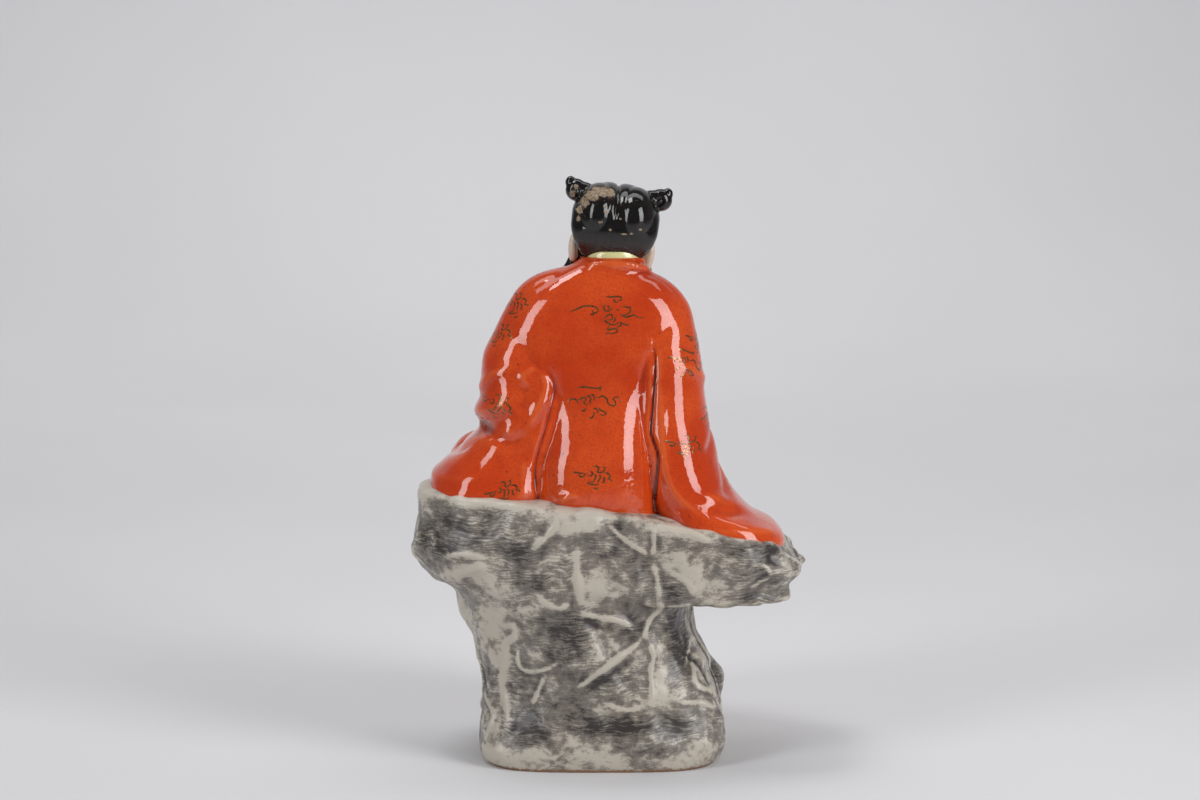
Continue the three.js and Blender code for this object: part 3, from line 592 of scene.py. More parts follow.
def lapels():
    x = BODY_X
    return [limb([
        [x, 15.4, 274.6, 1.7, 3.5], [x + s * 9, 13.8, 274, 1.7, 3.5], [x + s * 16.6, 4, 271, 2.2, 4.2],
        [x + s * 15.5, -12, 267, 2.4, 5], [x + s * 13, -23.5, 248, 2.4, 5.5], [x + s * 14, -27.5, 222, 2.4, 6],
        [x + s * 14, -31, 192, 2.4, 6], [x + s * 12, -33, 172, 2.4, 6]], 90, 28, (s, 0.02, 0.1))
        for s in (1, -1)]


LEFT_ELBOW, LEFT_WRIST = (47, -2, 208), (46, -40, 187)
RIGHT_ELBOW, RIGHT_WRIST = (-42, -2, 208), (-43, -52, 186)

ROBE_CREASES = [
    ["back", -1.7, 0.95, [(-27.2, 240), (-28.6, 223), (-28, 209), (-27.2, 198), (-26.4, 185), (-30, 173),
                         (-29.2, 159.5), (-27.9, 142), (-27.6, 134)]],
    ["back", -1.2, 1.3, [(25.3, 214), (28, 198), (31.5, 185), (35.2, 173), (36.4, 163.5), (35.7, 150), (35, 142)]]]
ROBE_FOLDS = [
    ["back", 1.2, 2.6, [(-31.6, 212), (-32.1, 192), (-32.6, 177), (-36.2, 159.5), (-43.3, 148.7), (-60, 138)]],
    ["back", 1.3, 2.8, [(35.2, 222), (30.8, 212), (32.5, 204), (35.2, 198.5), (40.6, 187)]],
    ["back", 1.1, 3.0, [(35.2, 222), (40, 218), (46.2, 213.5)]],
    ["back", -1.2, 4.0, [(44, 212), (42, 204), (46, 197)]],
    ["back", -2.0, 4.0, [(74, 190), (60, 184), (50, 180), (40, 186)]],
    ["back", 1.0, 3.0, [(42.3, 172), (43, 160), (43, 148)]],
    ["back", 1.2, 1.8, [(23.7, 148), (20.5, 150.5), (16.8, 152.5), (12, 152)]],
    ["back", 1.4, 3.0, [(-52, 156), (-57.3, 150.6), (-65.7, 147.9), (-78.2, 143), (-88, 138)]],
    ["back", 1.4, 2.6, [(-64, 138.5), (-72.6, 136.5), (-85.2, 133), (-97, 129)]],
    ["back", -1.6, 3.0, [(-56, 147), (-64, 143), (-80, 139), (-94, 134)]],
    ["back", 0.9, 3.2, [(12, 273), (0, 274.5), (-14, 274), (-25, 270)]],
    ["left", -1.2, 4.6, [(34, 190), (14, 184), (-10, 182), (-30, 188)]],
    ["left", 1.4, 3.4, [(30, 222), (16, 210), (2, 206)]],
    ["left", -1.6, 3.2, [(24, 176), (4, 172), (-18, 170)]],
    ["right", -1.8, 3.4, [(30, 170), (10, 178), (-12, 190), (-26, 202)]],
    ["right", -1.4, 3.2, [(34, 146), (12, 156), (-14, 172)]],
    ["right", 1.2, 3.0, [(28, 222), (12, 214), (-4, 210)]],
    ["front", -1.8, 2.6, [(34, 252), (40, 232), (42, 212)]],
    ["front", -1.8, 2.6, [(-36, 250), (-40, 232), (-40, 212)]],
    ["front", 1.3, 2.6, [(28, 256), (31, 236), (32, 214)]],
    ["front", 1.3, 2.6, [(-30, 256), (-32, 236), (-33, 214)]],
    ["front", -1.6, 2.6, [(12, 180), (28, 172), (46, 170), (62, 172)]],
    ["front", -1.4, 2.4, [(6, 166), (26, 160), (46, 158), (66, 160)]],
    ["front", -1.6, 2.4, [(-30, 152), (-27, 128), (-30, 96), (-28, 78)]],
    ["front", -1.6, 2.4, [(-16, 158), (-14, 130), (-17, 100), (-14, 82)]],
    ["front", 1.3, 2.4, [(-38, 148), (-38, 120), (-40, 92)]],
    ["front", -1.4, 2.4, [(24, 152), (30, 138), (28, 124)]],
    ["front", -1.4, 2.4, [(48, 152), (50, 138), (54, 124)]]]


# Soft swellings, [view, height of the swelling, across, up, half width, half height]
ROBE_SWELLS = [
    ["back", 1.6, 20, 172, 15, 22], ["back", 3.0, -10, 181, 15, 24], ["back", -1.4, 2, 216, 20, 14],
    ["back", 2.0, 74, 162, 14, 9], ["back", 1.5, 57, 203, 8, 10]]


def swelled(skin, swells):
    normals = skin.normals()
    for view, height, across, up, wide, tall in swells:
        axis, facing = SIDES[view]
        reach = ((skin.points[:, axis] - across) / wide) ** 2 + ((skin.points[:, 2] - up) / tall) ** 2
        skin.press(height * np.exp(-reach) * smoothstep(normals @ np.array(facing, float), 0, 0.5))
    return skin


def build_robe():
    forms = [torso(), *sleeves(), *legs(), *skirts(), *lapels(),
             forearm(LEFT_ELBOW, LEFT_WRIST, 19), forearm(RIGHT_ELBOW, RIGHT_WRIST, 21)]
    skin = fused(forms, 1.22)
    skin.soften(10)
    swelled(skin, ROBE_SWELLS)
    folded(skin, ROBE_FOLDS)
    skin.soften(4)
    folded(skin, ROBE_CREASES)
    # Painted shade along the deep creases, the second crease only low down
    crease_shade = [drawn(skin, view, line, 1.0) for view, _, _, line in ROBE_CREASES]
    low = 1 - smoothstep(skin.points[:, 2], 146, 190)
    skin.marks = {"hollow": skin.hollow(10), "crease_shade": np.maximum(crease_shade[0], crease_shade[1] * low)}
    return skin


def build_under_robe():
    x, y, c = FOOT_X, FOOT_Y, BODY_X
    chest = levels([
        [180, c + 17, c - 15, 0, -36, 0.8], [206, c + 14, c - 13, 0, -30, 0.85],
        [230, c + 13, c - 12, 0, -27.5, 0.9], [250, c + 12, c - 12, 0, -25, 0.9],
        [266, c + 13, c - 13, 6, -20, 1], [274, c + 16, c - 17.2, 13.4, -15, 1], [279, c + 15.8, c - 17, 14.6, -14, 1],
        [281.9, c + 14.4, c - 15.8, 14.2, -13, 1]], 60, 120)

    def pleats(px, py, pz, angle, share):
        return 0.6 * np.cos(15 * angle)

    hem = levels([
        [60, x + 29, x - 17, -50, y - 15, 0.78], [72, x + 28, x - 17, -50, y - 14, 0.78],
        [90, x + 26, x - 17, -48, y - 12, 0.8], [104, x + 20, x - 12, -46, y - 6, 0.8]], 30, 110, pleats)
    skin = fused([chest, hem], 0.9, single=False)
    skin.soften(4)
    folded(skin, [
        ["front", -1.2, 1.2, [(c + 9, 262), (c + 2, 244), (c - 4, 226)]],
        ["front", 0.7, 1.4, [(c + 11, 258), (c + 4, 240), (c - 2, 222)]],
        ["front", 0.7, 1.4, [(c - 10, 258), (c - 6, 244), (c - 1, 230)]]])
    skin.marks = {"hollow": skin.hollow(8)}
    return skin


# The head, built upright about its own middle, with the face towards -Y

SIDEWAYS = (0, 1, 0)


def face_form():
    rows = [
        [-23.5, 5, -5, -6, -17, 1], [-21, 10, -10, 2, -20, 0.95], [-15, 15.5, -15.5, 6, -20.5, 0.9],
        [-7, 19.5, -19.5, 10, -20, 0.9], [2, 20.5, -20.5, 14, -20, 0.9], [10, 20, -20, 15, -20.5, 0.9],
        [17, 17.5, -17.5, 14, -18, 0.95], [22, 10, -10, 8, -11, 1]]
    # Each feature is [sideways, height, half width, half height, how far it stands out]
    features = [
        [0, -5, 2.0, 4.6, 3.6], [0, -8.0, 2.3, 1.5, 2.2], [2.9, -8.4, 1.3, 1.2, 1.5], [0, 1, 1.8, 4, 1.0],
        [8, 1.0, 4.6, 2.8, -2.3], [8, -0.1, 3.1, 1.5, 1.9], [8.2, 1.9, 3.6, 0.7, 0.6], [8.2, 5, 4.6, 1.5, 1.1],
        [11, -6.6, 4.6, 4, 1.5], [0, -12.9, 3.6, 0.8, 1.3], [0, -14.9, 2.9, 0.9, 1.4], [0, -11.2, 1.0, 1.2, -0.5],
        [0, -20, 4.5, 2.4, 1.2], [0, 12, 10, 6, 0.8]]

    def carve(x, y, z, angle, share):
        out = 0
        for across, height, wide, tall, depth in features:
            out = out + depth * np.exp(-((np.abs(x) - across) / wide) ** 2 - ((z - height) / tall) ** 2)
        return out * np.maximum(0, -np.sin(angle)) ** 2

    return levels(rows, 130, 190, carve)


def ear_forms(s):
    shell = limb([[s * 18.5, 1, -8, 1.6, 2.2], [s * 20.4, 0.4, -4, 2.0, 3], [s * 21.6, 0.4, 1, 2.0, 3.8],
                  [s * 21.2, 0, 5, 1.7, 3.2], [s * 19.6, -1, 8, 1.2, 1.8]], 30, 30, SIDEWAYS)
    rim = limb([[s * 20.8, 3.4, -3, 0.9, 0.9], [s * 22.8, 3.8, 1.5, 1.0, 1.0], [s * 22.4, 2.4, 6, 1.0, 1.0],
                [s * 21.4, -1, 7.6, 0.9, 0.9], [s * 20.8, -3, 4.5, 0.8, 0.8]], 30, 14, SIDEWAYS)
    lobe = limb([[s * 19.4, 0.5, -19.4, 0.9, 1.2], [s * 20.2, 0.5, -18, 2.3, 2.8], [s * 21.0, 0.5, -13.6, 2.7, 3.3],
                 [s * 21.5, 0.6, -9, 2.4, 3.2], [s * 21.2, 0.6, -5, 1.9, 2.8]], 30, 24, SIDEWAYS)
    return [shell, rim, lobe]


def hand_forms(wrist, forward, thumb_side):
    along = np.array(forward, float)
    along /= np.linalg.norm(along)
    across = np.cross((0, 0, 1), along)
    across *= thumb_side / np.linalg.norm(across)

    def at(a, c, up):
        return list(np.array(wrist, float) + (a * along + c * across + np.array([0, 0, up])) * HAND_LENGTH)

    forms = [limb([[*at(-0.3, 0, 0), 5.0, 4.1], [*at(0.0, 0, 0.01), 5.2, 4], [*at(0.14, 0, 0.015), 6.2, 3.9],
                   [*at(0.32, 0, 0.015), 7.4, 3.7], [*at(0.5, -0.01, -0.01), 7.2, 2.9],
                   [*at(0.57, -0.01, -0.03), 5.4, 2]], 40, 40)]
    for k in range(4):
        c = (1.5 - k) * 0.125
        reach = [0.9, 0.98, 0.94, 0.8][k]
        forms.append(limb([
            [*at(0.36, c, -0.01), 1.7, 1.7], [*at(0.5, c * 1.04, 0.008), 2.1, 2.05], [*at(0.64, c * 1.1, 0.004), 1.95, 1.9],
            [*at(0.64 + 0.45 * (reach - 0.64), c * 1.13, -0.04), 1.95, 1.9], [*at(reach * 0.93, c * 1.12, -0.105), 1.75, 1.7],
            [*at(reach * 0.99, c * 1.1, -0.165), 1.35, 1.3], [*at(reach * 1.01, c * 1.1, -0.19), 0.5, 0.5]], 36, 20))
    forms.append(limb([
        [*at(0.08, 0.1, -0.01), 2.8, 2.6], [*at(0.24, 0.22, -0.02), 2.7, 2.5], [*at(0.4, 0.3, -0.045), 2.1, 2.0],
        [*at(0.52, 0.33, -0.07), 2.1, 1.9], [*at(0.6, 0.335, -0.09), 1.5, 1.3], [*at(0.63, 0.335, -0.1), 0.5, 0.5]], 30, 20))
    return forms


def build_flesh():
    upright = [face_form(), *ear_forms(1), *ear_forms(-1)]
    forms = [on_neck(form) for form in upright]
    neck = limb([[BODY_X, 0, 256, 11, 11], [BODY_X - 0.5, -3, 272, 10.5, 10.5], [HEAD[0], -4, 284, 11, 11]], 20, 40,
                SIDEWAYS)
    forms.append(neck)
    forms += hand_forms(LEFT_WRIST, (0.15, -1, -0.25), -1)
    forms += hand_forms(RIGHT_WRIST, (-0.05, -1, -0.2), 1)
    skin = fused(forms, 0.5, single=False)
    skin.soften(3)
    local = head_space(skin.points)
    # Lid folds, nostrils and the line of the mouth
    front = smoothstep(-skin.normals()[:, 1], 0.1, 0.5) * (local[:, 2] > -30)
    for depth, width, line in [
            (-0.45, 0.5, [(4.6, 0.6), (6.5, 2.0), (9, 2.1), (11.6, 0.9)]),
            (-0.4, 0.45, [(4.8, -0.5), (7.6, -1.3), (11.4, 0.2)]),
            (-0.5, 0.5, [(1.5, -9.8), (2.3, -9.7)]),
            (-0.35, 0.9, [(5.2, -8.2), (7.4, -11.5), (7.8, -14)])]:
        distance, place = along_line(np.abs(local[:, 0]), local[:, 2], curved(line))
        skin.press(depth * bump(distance, width) * front)
    distance, place = along_line(local[:, 0], local[:, 2], curved([(-4, -13.7), (-1.6, -13.8), (0, -14), (1.6, -13.8), (4, -13.7)]))
    skin.press(-0.55 * bump(distance, 0.5) * front)
    blush = bump(np.hypot(np.abs(local[:, 0]) - 11, (local[:, 2] + 5) * 1.1), 5) * front
    skin.marks = {"hollow": skin.hollow(5), "blush": blush}
    return skin


def build_hair():
    cap = levels([
        [-17, 14.2, -14.2, 14.5, 4, 0.97], [-12, 18, -18, 18, 1, 0.97], [-5.5, 22, -22, 21.6, 0, 0.98],
        [2, 24, -24, 23.4, -4, 0.98], [9, 24.2, -24.2, 23.2, -10, 0.98], [15, 22.6, -22.6, 21, -15, 0.98],
        [20.5, 18.6, -18.6, 16.2, -17, 0.96], [24.2, 12.8, -12.8, 10, -13, 0.96], [26, 6.5, -6.5, 4, -8, 0.98],
        [26.5, 2, -2, 1, -5, 1]], 110, 200)
    forms = [cap]
    for s, high, wide in ((1, 1.2, 5.8), (-1, 1.0, 6.4)):
        forms.append(egg((s * 9.6, 3.4, 8.4), (13.4, 21, 17.2)))
        forms.append(egg((s * 23.4, 1.5, 19.4 + 0.4 * high), (wide, 5.6, 6.2)))
        forms.append(egg((s * 26.9, 1.5, 22.4 + high), (2.9, 3.2, 3.5)))
        forms.append(limb([[s * 13, 2, 18.5, 4, 4.5], [s * 18, 1.6, 20, 4.6, 5.0], [s * 22, 1.5, 20.8, 4.4, 5.4]],
                          24, 30, SIDEWAYS))

    def strands(x, y, z, angle, share):
        return 0.5 * np.cos(17 * angle + 0.08 * z) + 0.22 * np.cos(39 * angle + 0.2 * z)

    forms.append(levels([
        [-62, 2.5, -2.5, -20.5, -24.5, 1], [-54, 7, -7, -16, -26, 1], [-42, 11.5, -11.5, -11, -27, 1],
        [-30, 14.5, -14.5, -6, -26.5, 1], [-22, 14, -14, -5, -24.5, 1], [-18, 8, -8, -9, -22, 1]], 90, 200, strands))
    for s in (1, -1):
        forms.append(limb([
            [s * 19.5, -4, -5, 1.2, 2], [s * 17.5, -9.5, -13, 2.4, 3], [s * 12, -15.5, -20, 3.6, 3.6],
            [s * 6, -18, -24, 3, 3]], 40, 30, SIDEWAYS, lambda a, t: 0.08 * np.cos(7 * a)))
        forms.append(limb([
            [s * 19.5, -4, -3, 1.2, 1.6], [s * 19, -7, -12, 2.2, 2.6], [s * 20.5, -6, -21, 3.2, 3.4],
            [s * 24, -3, -29, 3.6, 3.6], [s * 27.5, -1, -35, 1.4, 1.6]], 50, 30, SIDEWAYS,
            lambda a, t: 0.09 * np.cos(6 * a + 2 * t)))
        forms.append(limb([
            [0, -22.6, -11.6, 0.8, 0.9], [s * 3.5, -22.8, -11.6, 1.3, 1.3], [s * 7, -21.6, -13.4, 1.4, 1.3],
            [s * 10.4, -20.6, -18, 1.2, 1.1], [s * 11.5, -20.5, -24, 0.8, 0.8]], 40, 16, SIDEWAYS))
    skin = fused([on_neck(form) for form in forms] + [shoe_form()], 0.55, single=False)
    skin.soften(3)
    local = head_space(skin.points)
    x, y, z = local.T
    back = smoothstep(skin.normals()[:, 1], 0.0, 0.4)
    on_cap = smoothstep(z, -20, -16)
    # Combed strands sweep round the nape
    fan = np.hypot(x, (z - 9) * 1.15) * 4.6 + 0.6 * np.sin(x * 0.5)
    nape = back * smoothstep(-z, 0, 8) * on_cap
    skin.press(0.1 * nape * np.cos(fan))
    # The parting, and the swirl of each bun
    above = smoothstep(skin.normals()[:, 1] + 0.9 * skin.normals()[:, 2], 0.0, 0.4)
    skin.press(-1.3 * bump(x - 0.4, 2.6) * smoothstep(z, 4, 16) * above)
    skin.press(-0.8 * bump(x - 0.4, 0.8) * smoothstep(z, 5, 10) * above)
    for s in (1, -1):
        swirl = [(s * 21.5, 16.6), (s * 23.6, 17.6), (s * 24.6, 19.6), (s * 23.2, 21), (s * 21.6, 20)]
        distance, place = along_line(x, z, curved(swirl))
        skin.press(-1.3 * bump(distance, 0.9) * back * (z > 10))
    # Where the glaze is worn from the crown
    worn = worn_patch(x, z) * smoothstep(skin.normals()[:, 1] + 0.6 * skin.normals()[:, 2], 0.05, 0.3)
    skin.marks = {"hollow": skin.hollow(5), "worn": worn, "nape": nape, "across": x, "height": z, "depth": y,
                  "fan": fan}
    return skin


# The worn places, [across, height, half width, half height] in the head's upright space
WORN = [[9.5, 21.6, 6.5, 2.6], [14.5, 19, 4.6, 2.8], [4.6, 21.4, 2.6, 3.0], [18.2, 15, 2.6, 2.6], [20.4, 10.5, 2.0, 2.6],
        [20.2, 5.5, 1.2, 2.0], [25.0, 18.0, 1.8, 2.4], [23.5, 22, 1.4, 1.4], [5.5, 11.5, 1.6, 0.7],
        [6.8, 13.8, 1.0, 0.6], [8, 5.5, 1.2, 0.6], [2.4, 2.0, 0.8, 0.7], [-5.5, 0.6, 2.2, 0.5], [-9.5, 1.2, 1.2, 0.5],
        [-14, 4, 1.2, 0.6], [-2.5, 8.5, 0.7, 0.6]]


def worn_patch(x, z):
    total = np.zeros(len(x))
    for across, height, wide, tall in WORN:
        total = np.maximum(total, np.exp(-((x - across) / wide) ** 2 - ((z - height) / tall) ** 2))
    return total


def shoe_form():
    x, y = FOOT_X, FOOT_Y
    return limb([[x, y + 8, 62, 9, 9], [x, y - 4, 61, 10.5, 9], [x - 1.5, y - 17, 60, 10, 7.5],
                 [x - 2.5, y - 26, 60.5, 8, 6.5], [x - 3, y - 31, 63, 4, 4]], 50, 60)


# Brushwork: thin strokes that lie on a skin

def brush(skins, strokes):
    """A stroke is (origin, right, up, towards, line, half width). Its line is drawn on whatever it meets."""
    points, faces = [], []
    trees = [BVHTree.FromPolygons(skin.points.tolist(), skin.quads.tolist()) for skin in skins]
    for origin, right, up, towards, line, wide in strokes:
        path = curved(line, 8)
        hits = []
        for a, b in path:
            start = Vector(origin) + Vector(right) * a + Vector(up) * b + Vector(towards) * 300
            found = [tree.ray_cast(start, -Vector(towards)) for tree in trees]
            found = [f for f in found if f[0] is not None]
            if found:
                near = min(found, key=lambda f: f[3])
                hits.append((np.array(near[0]), np.array(near[1]), near[3]))
        runs = [[]]
        for hit in hits:
            if runs[-1] and np.linalg.norm(hit[0] - runs[-1][-1][0]) > 3.5:
                runs.append([])
            runs[-1].append(hit)
        for run in runs:
            if len(run) < 3:
                continue
            place = np.array([h[0] for h in run])
            normal = np.array([h[1] for h in run])
            normal = (normal + np.roll(normal, 1, 0) + np.roll(normal, -1, 0)) / 3 if len(run) > 4 else normal
            along = np.gradient(place, axis=0)
            side = np.cross(normal, along)
            side /= np.maximum(np.linalg.norm(side, axis=1, keepdims=True), 1e-9)
            share = np.linspace(0, 1, len(run))
            width = wide * (0.25 + 0.95 * smoothstep(share, 0, 0.18) * (1 - share) ** 0.55)
            first = len(points)
            for p, n, s, w in zip(place, normal, side, width):
                points += [p - s * w + n * 0.02, p + n * 0.09, p + s * w + n * 0.02]
            for k in range(len(run) - 1):
                a = first + 3 * k
                faces += [[a, a + 1, a + 4, a + 3], [a + 1, a + 2, a + 5, a + 4]]
    skin = Skin(np.array(points), np.array(faces))
    return skin


# Cloud scrolls as [line, ...], in millimetres to the right and up from their middle
CLOUDS = {
    "long": [
        [(-20.7, 1.4), (-17, 2.8), (-12.5, 4.6), (-8.3, 4.6), (-5.5, 3.5), (-5.1, 1.8), (-6.7, 0.9), (-8, 1.8), (-7.4, 2.9)],
        [(-9.2, 0.5), (-7.8, 0.2), (-6, 0.9)],
        [(-1.4, 9.9), (1.4, 9.4), (4.6, 9.6), (7.4, 9.4), (7.7, 8.1), (6.2, 7.4), (5.5, 8.3)],
        [(3.7, 8.5), (4.3, 6.9), (6, 6.6)],
        [(-0.6, 5.5), (-1.8, 4.1), (-1.2, 2.3), (0.6, 2), (2.3, 3.2), (3.2, 2.6)],
        [(0, 5.1), (0.9, 4.1), (0.3, 2.9)], [(5.1, 2.8), (6.5, 2.4)],
        [(7.8, 4.1), (10.6, 4.1), (12.4, 3.5), (12.6, 1.8), (11.1, 0.5), (8.8, -0.2), (6.9, 0.5)],
        [(7.4, -0.5), (10.6, -1.1), (13.4, -0.5), (14.8, 0), (16.1, -1.1), (20.3, -1.8)],
        [(-1.6, -2.3), (0.5, 0), (2.3, 0), (3, -1.4), (1.8, -2.8), (0, -2.3)],
        [(-2.1, -2.6), (-0.5, -3.7), (1.4, -4.8), (3.2, -5.3), (5.5, -4.8), (6.5, -3.7)],
        [(4.1, -1.4), (4.3, -2.8), (3.2, -4.1)], [(6.5, -4.1), (8.8, -4.8), (11.1, -5.7), (11.7, -4.8)],
        [(1.4, -5.3), (0.3, -7.4), (0.9, -8), (3.2, -7.4), (5.5, -7.8), (5.1, -9.2), (2.8, -10), (0, -9.7), (-0.6, -10.9)],
        [(7.8, -5.1), (6.9, -6), (5.1, -6.5)]],
    "wide": [
        [(-9.2, 6.9), (-6, 7.6), (-1.8, 7.2), (1.8, 6.9), (3.9, 7.6), (3.2, 5.7)], [(2.3, 6.9), (3.5, 6.5), (2.9, 5.4)],
        [(-14.3, -0.5), (-12.4, 0.9), (-10.1, 0.9), (-9, -0.5), (-8.8, -1.4)],
        [(-8.8, 0.5), (-6.9, 1.4), (-5.3, 2), (-4.4, 0.7), (-5.5, -0.7), (-4.6, -1.7), (-2.8, -1.1)],
        [(-4.4, 2.3), (-2.8, 2.8), (-1.8, 1.4), (-2.3, -0.5), (-1.4, -1.4)], [(-1.8, 3.7), (-0.5, 3.2), (0.2, 1.4), (-0.5, 0.5)],
        [(0.5, 2.3), (2.3, 2), (3.9, 2.8), (5.5, 2.3), (6.9, 1.4), (7.4, -0.5), (8.5, -1.7), (10.6, -2.3), (11.8, -1.4),
         (11.1, 0.5), (10.1, 1.4), (12, 2.3), (13.6, 1.8), (14.3, 0), (15.2, -0.5)],
        [(-6.9, -4.1), (-5.7, -5.1), (-4.6, -4.1), (-5.3, -3.7)], [(-0.5, -3.7), (1.4, -4.1), (2.3, -5.5), (0.9, -6)],
        [(2.3, -3.2), (3.7, -4.6), (5.5, -5.5), (6.5, -6.5), (4.6, -7.2), (2.8, -6.5)],
        [(-2.8, -9.2), (-0.9, -8.3), (0, -6.5), (-0.9, -6)]],
    "round": [
        [(-11.1, 2.8), (-8.8, 2.6), (-6.6, 2.3), (-5.3, 2.8)],
        [(-8.1, 1.8), (-6.9, 0.5), (-5.3, 0.9), (-4.6, 2), (-3.2, 2.3)],
        [(-0.9, 5.7), (0.9, 6), (2.3, 5.1), (1.8, 3.2), (2.8, 2.8), (4.6, 3.2), (5.5, 4.6), (4.6, 5.5), (6.6, 5.5)],
        [(-1.8, 3.7), (-0.9, 2.3), (-1.8, 0.9), (-3.2, 1.4)], [(0, 2.3), (0.9, 0.9), (0.2, -0.9), (-0.9, -2.3), (-2.3, -1.8)],
        [(2.3, 1.8), (3.2, 0.5), (2.3, -1.4), (1.4, -2.3)],
        [(5.1, 2.8), (6.9, 2.3), (8.1, 0.9), (7.4, -0.5), (9.2, -1.4), (8.5, -2.3)],
        [(4.6, 0.5), (5.3, -0.9), (4.6, -2.3), (6, -2.8)], [(-3.7, -2.3), (-1.8, -3.2), (0.9, -3.5), (2.8, -2.9)],
        [(-0.2, -5.1), (0.9, -5.7), (2.3, -5.1)]]}

# Each cloud is [kind, azimuth seen from, (x, y, z) of its middle, scale, turn], with 0 the front and 180 the back
CLOUD_PLACES = [
    ["long", 180, (-2.5, 0, 249), 1.0, 0], ["wide", 180, (4.6, 0, 202.5), 1.0, 0], ["round", 180, (4.5, 0, 162.5), 1.05, 0],
    ["wide", 190, (-42, 0, 222), 0.85, -0.3], ["round", 180, (-44.5, 0, 177), 1.05, -0.1],
    ["round", 168, (46, 0, 252), 1.05, 0.3], ["round", 176, (56.5, 0, 199), 1.1, -0.2],
    ["round", 180, (53.5, 0, 153.5), 0.95, 0.3],
    ["round", 100, (0, 4, 236), 1.0, 0.2], ["wide", 92, (0, 8, 186), 0.8, 0.1], ["round", 84, (0, -16, 160), 0.9, 0],
    ["round", 262, (0, 4, 232), 1.0, -0.2], ["wide", 268, (0, 6, 190), 0.8, 0], ["round", 275, (0, -4, 152), 0.9, 0],
    ["round", 20, (45, -30, 228), 0.9, 0.2], ["round", -20, (-44, -30, 228), 0.9, -0.2],
    ["wide", 0, (46, -60, 166), 0.8, 0], ["round", 0, (-33, -90, 158), 0.85, 0.1],
    ["wide", 0, (-27, -90, 118), 0.85, 0], ["round", 10, (46, -70, 141), 0.9, 0]]


def cloud_strokes():
    strokes = []
    for kind, azimuth, middle, scale, turn in CLOUD_PLACES:
        a = math.radians(azimuth)
        towards = (math.sin(a), -math.cos(a), 0)
        right = (math.cos(a), math.sin(a), 0)
        c, s = math.cos(turn), math.sin(turn)
        for line in CLOUDS[kind]:
            turned = [((u * c - v * s) * scale, (u * s + v * c) * scale) for u, v in line]
            strokes.append((middle, right, (0, 0, 1), towards, turned, 0.5))
    return strokes


def face_strokes(lines, wide):
    c, s = math.cos(HEAD_TILT), math.sin(HEAD_TILT)
    strokes = []
    for line, mirrored in lines:
        for side in ((1, -1) if mirrored else (1,)):
            strokes.append((HEAD, (c, 0, s), (-s, 0, c), (0, -1, 0), [(side * a, b) for a, b in line], wide))
    return strokes


# Glazes

class Glaze:
    """A Principled material and short names for the nodes that colour it."""

    def __init__(self, name, **values):
        self.material = bpy.data.materials.new(name)
        self.material.use_nodes = True
        self.tree = self.material.node_tree
        self.shader = self.tree.nodes["Principled BSDF"]
        self.object = self.add("ShaderNodeTexCoord").outputs["Object"]
        for socket, value in values.items():
            self.shader.inputs[socket.replace("_", " ")].default_value = value

    def add(self, kind, inputs=(), **settings):
        node = self.tree.nodes.new(kind)
        for key, value in settings.items():
            setattr(node, key, value)
        for key, value in dict(inputs).items():
            self.feed(node.inputs[key], value)
        return node

    def feed(self, socket, value):
        if isinstance(value, bpy.types.NodeSocket):
            self.tree.links.new(value, socket)
        else:
            socket.default_value = value

    def noise(self, size, detail=2.0, rough=0.5, stretch=(1, 1, 1), turn=(0, 0, 0), place=None, warp=0.0):
        """Noise from 0 to 1 with features about size millimetres across."""
        mapping = self.add("ShaderNodeMapping", {
            "Vector": place or self.object, "Rotation": turn, "Scale": [1000 / size / s for s in stretch]})
        return self.add("ShaderNodeTexNoise", {
            "Vector": mapping.outputs[0], "Scale": 1.0, "Detail": detail, "Roughness": rough,
            "Distortion": warp}).outputs["Fac"]

    def mark(self, name):
        return self.add("ShaderNodeAttribute", attribute_name=name).outputs["Fac"]

    def span(self, value, low, high, to_low=0.0, to_high=1.0, smooth=True):
        node = self.add("ShaderNodeMapRange", {0: value, 1: low, 2: high, 3: to_low, 4: to_high})
        node.interpolation_type = "SMOOTHSTEP" if smooth else "LINEAR"
        return node.outputs[0]

    def math(self, operation, a, b=0.0):
        return self.add("ShaderNodeMath", {0: a, 1: b}, operation=operation).outputs[0]

    def mix(self, factor, a, b, blend="MIX"):
        node = self.add("ShaderNodeMix", data_type="RGBA", blend_type=blend)
        self.feed(node.inputs[0], factor)
        for socket, value in ((node.inputs[6], a), (node.inputs[7], b)):
            self.feed(socket, (*value, 1) if isinstance(value, tuple) else value)
        return node.outputs[2]

    def bumps(self, layers, coat=True):
        """Each layer is (height, strength, distance in millimetres)."""
        normal = None
        for height, strength, distance in layers:
            node = self.add("ShaderNodeBump", {"Height": height, "Strength": strength, "Distance": distance * MM})
            if normal is not None:
                self.feed(node.inputs["Normal"], normal)
            normal = node.outputs[0]
        self.feed(self.shader.inputs["Normal"], normal)
        if coat:
            self.feed(self.shader.inputs["Coat Normal"], normal)

    def colour(self, value):
        self.feed(self.shader.inputs["Base Color"], value)

    def rough(self, value):
        self.feed(self.shader.inputs["Roughness"], value)

    def height(self):
        return self.add("ShaderNodeSeparateXYZ", {0: self.object}).outputs[2]


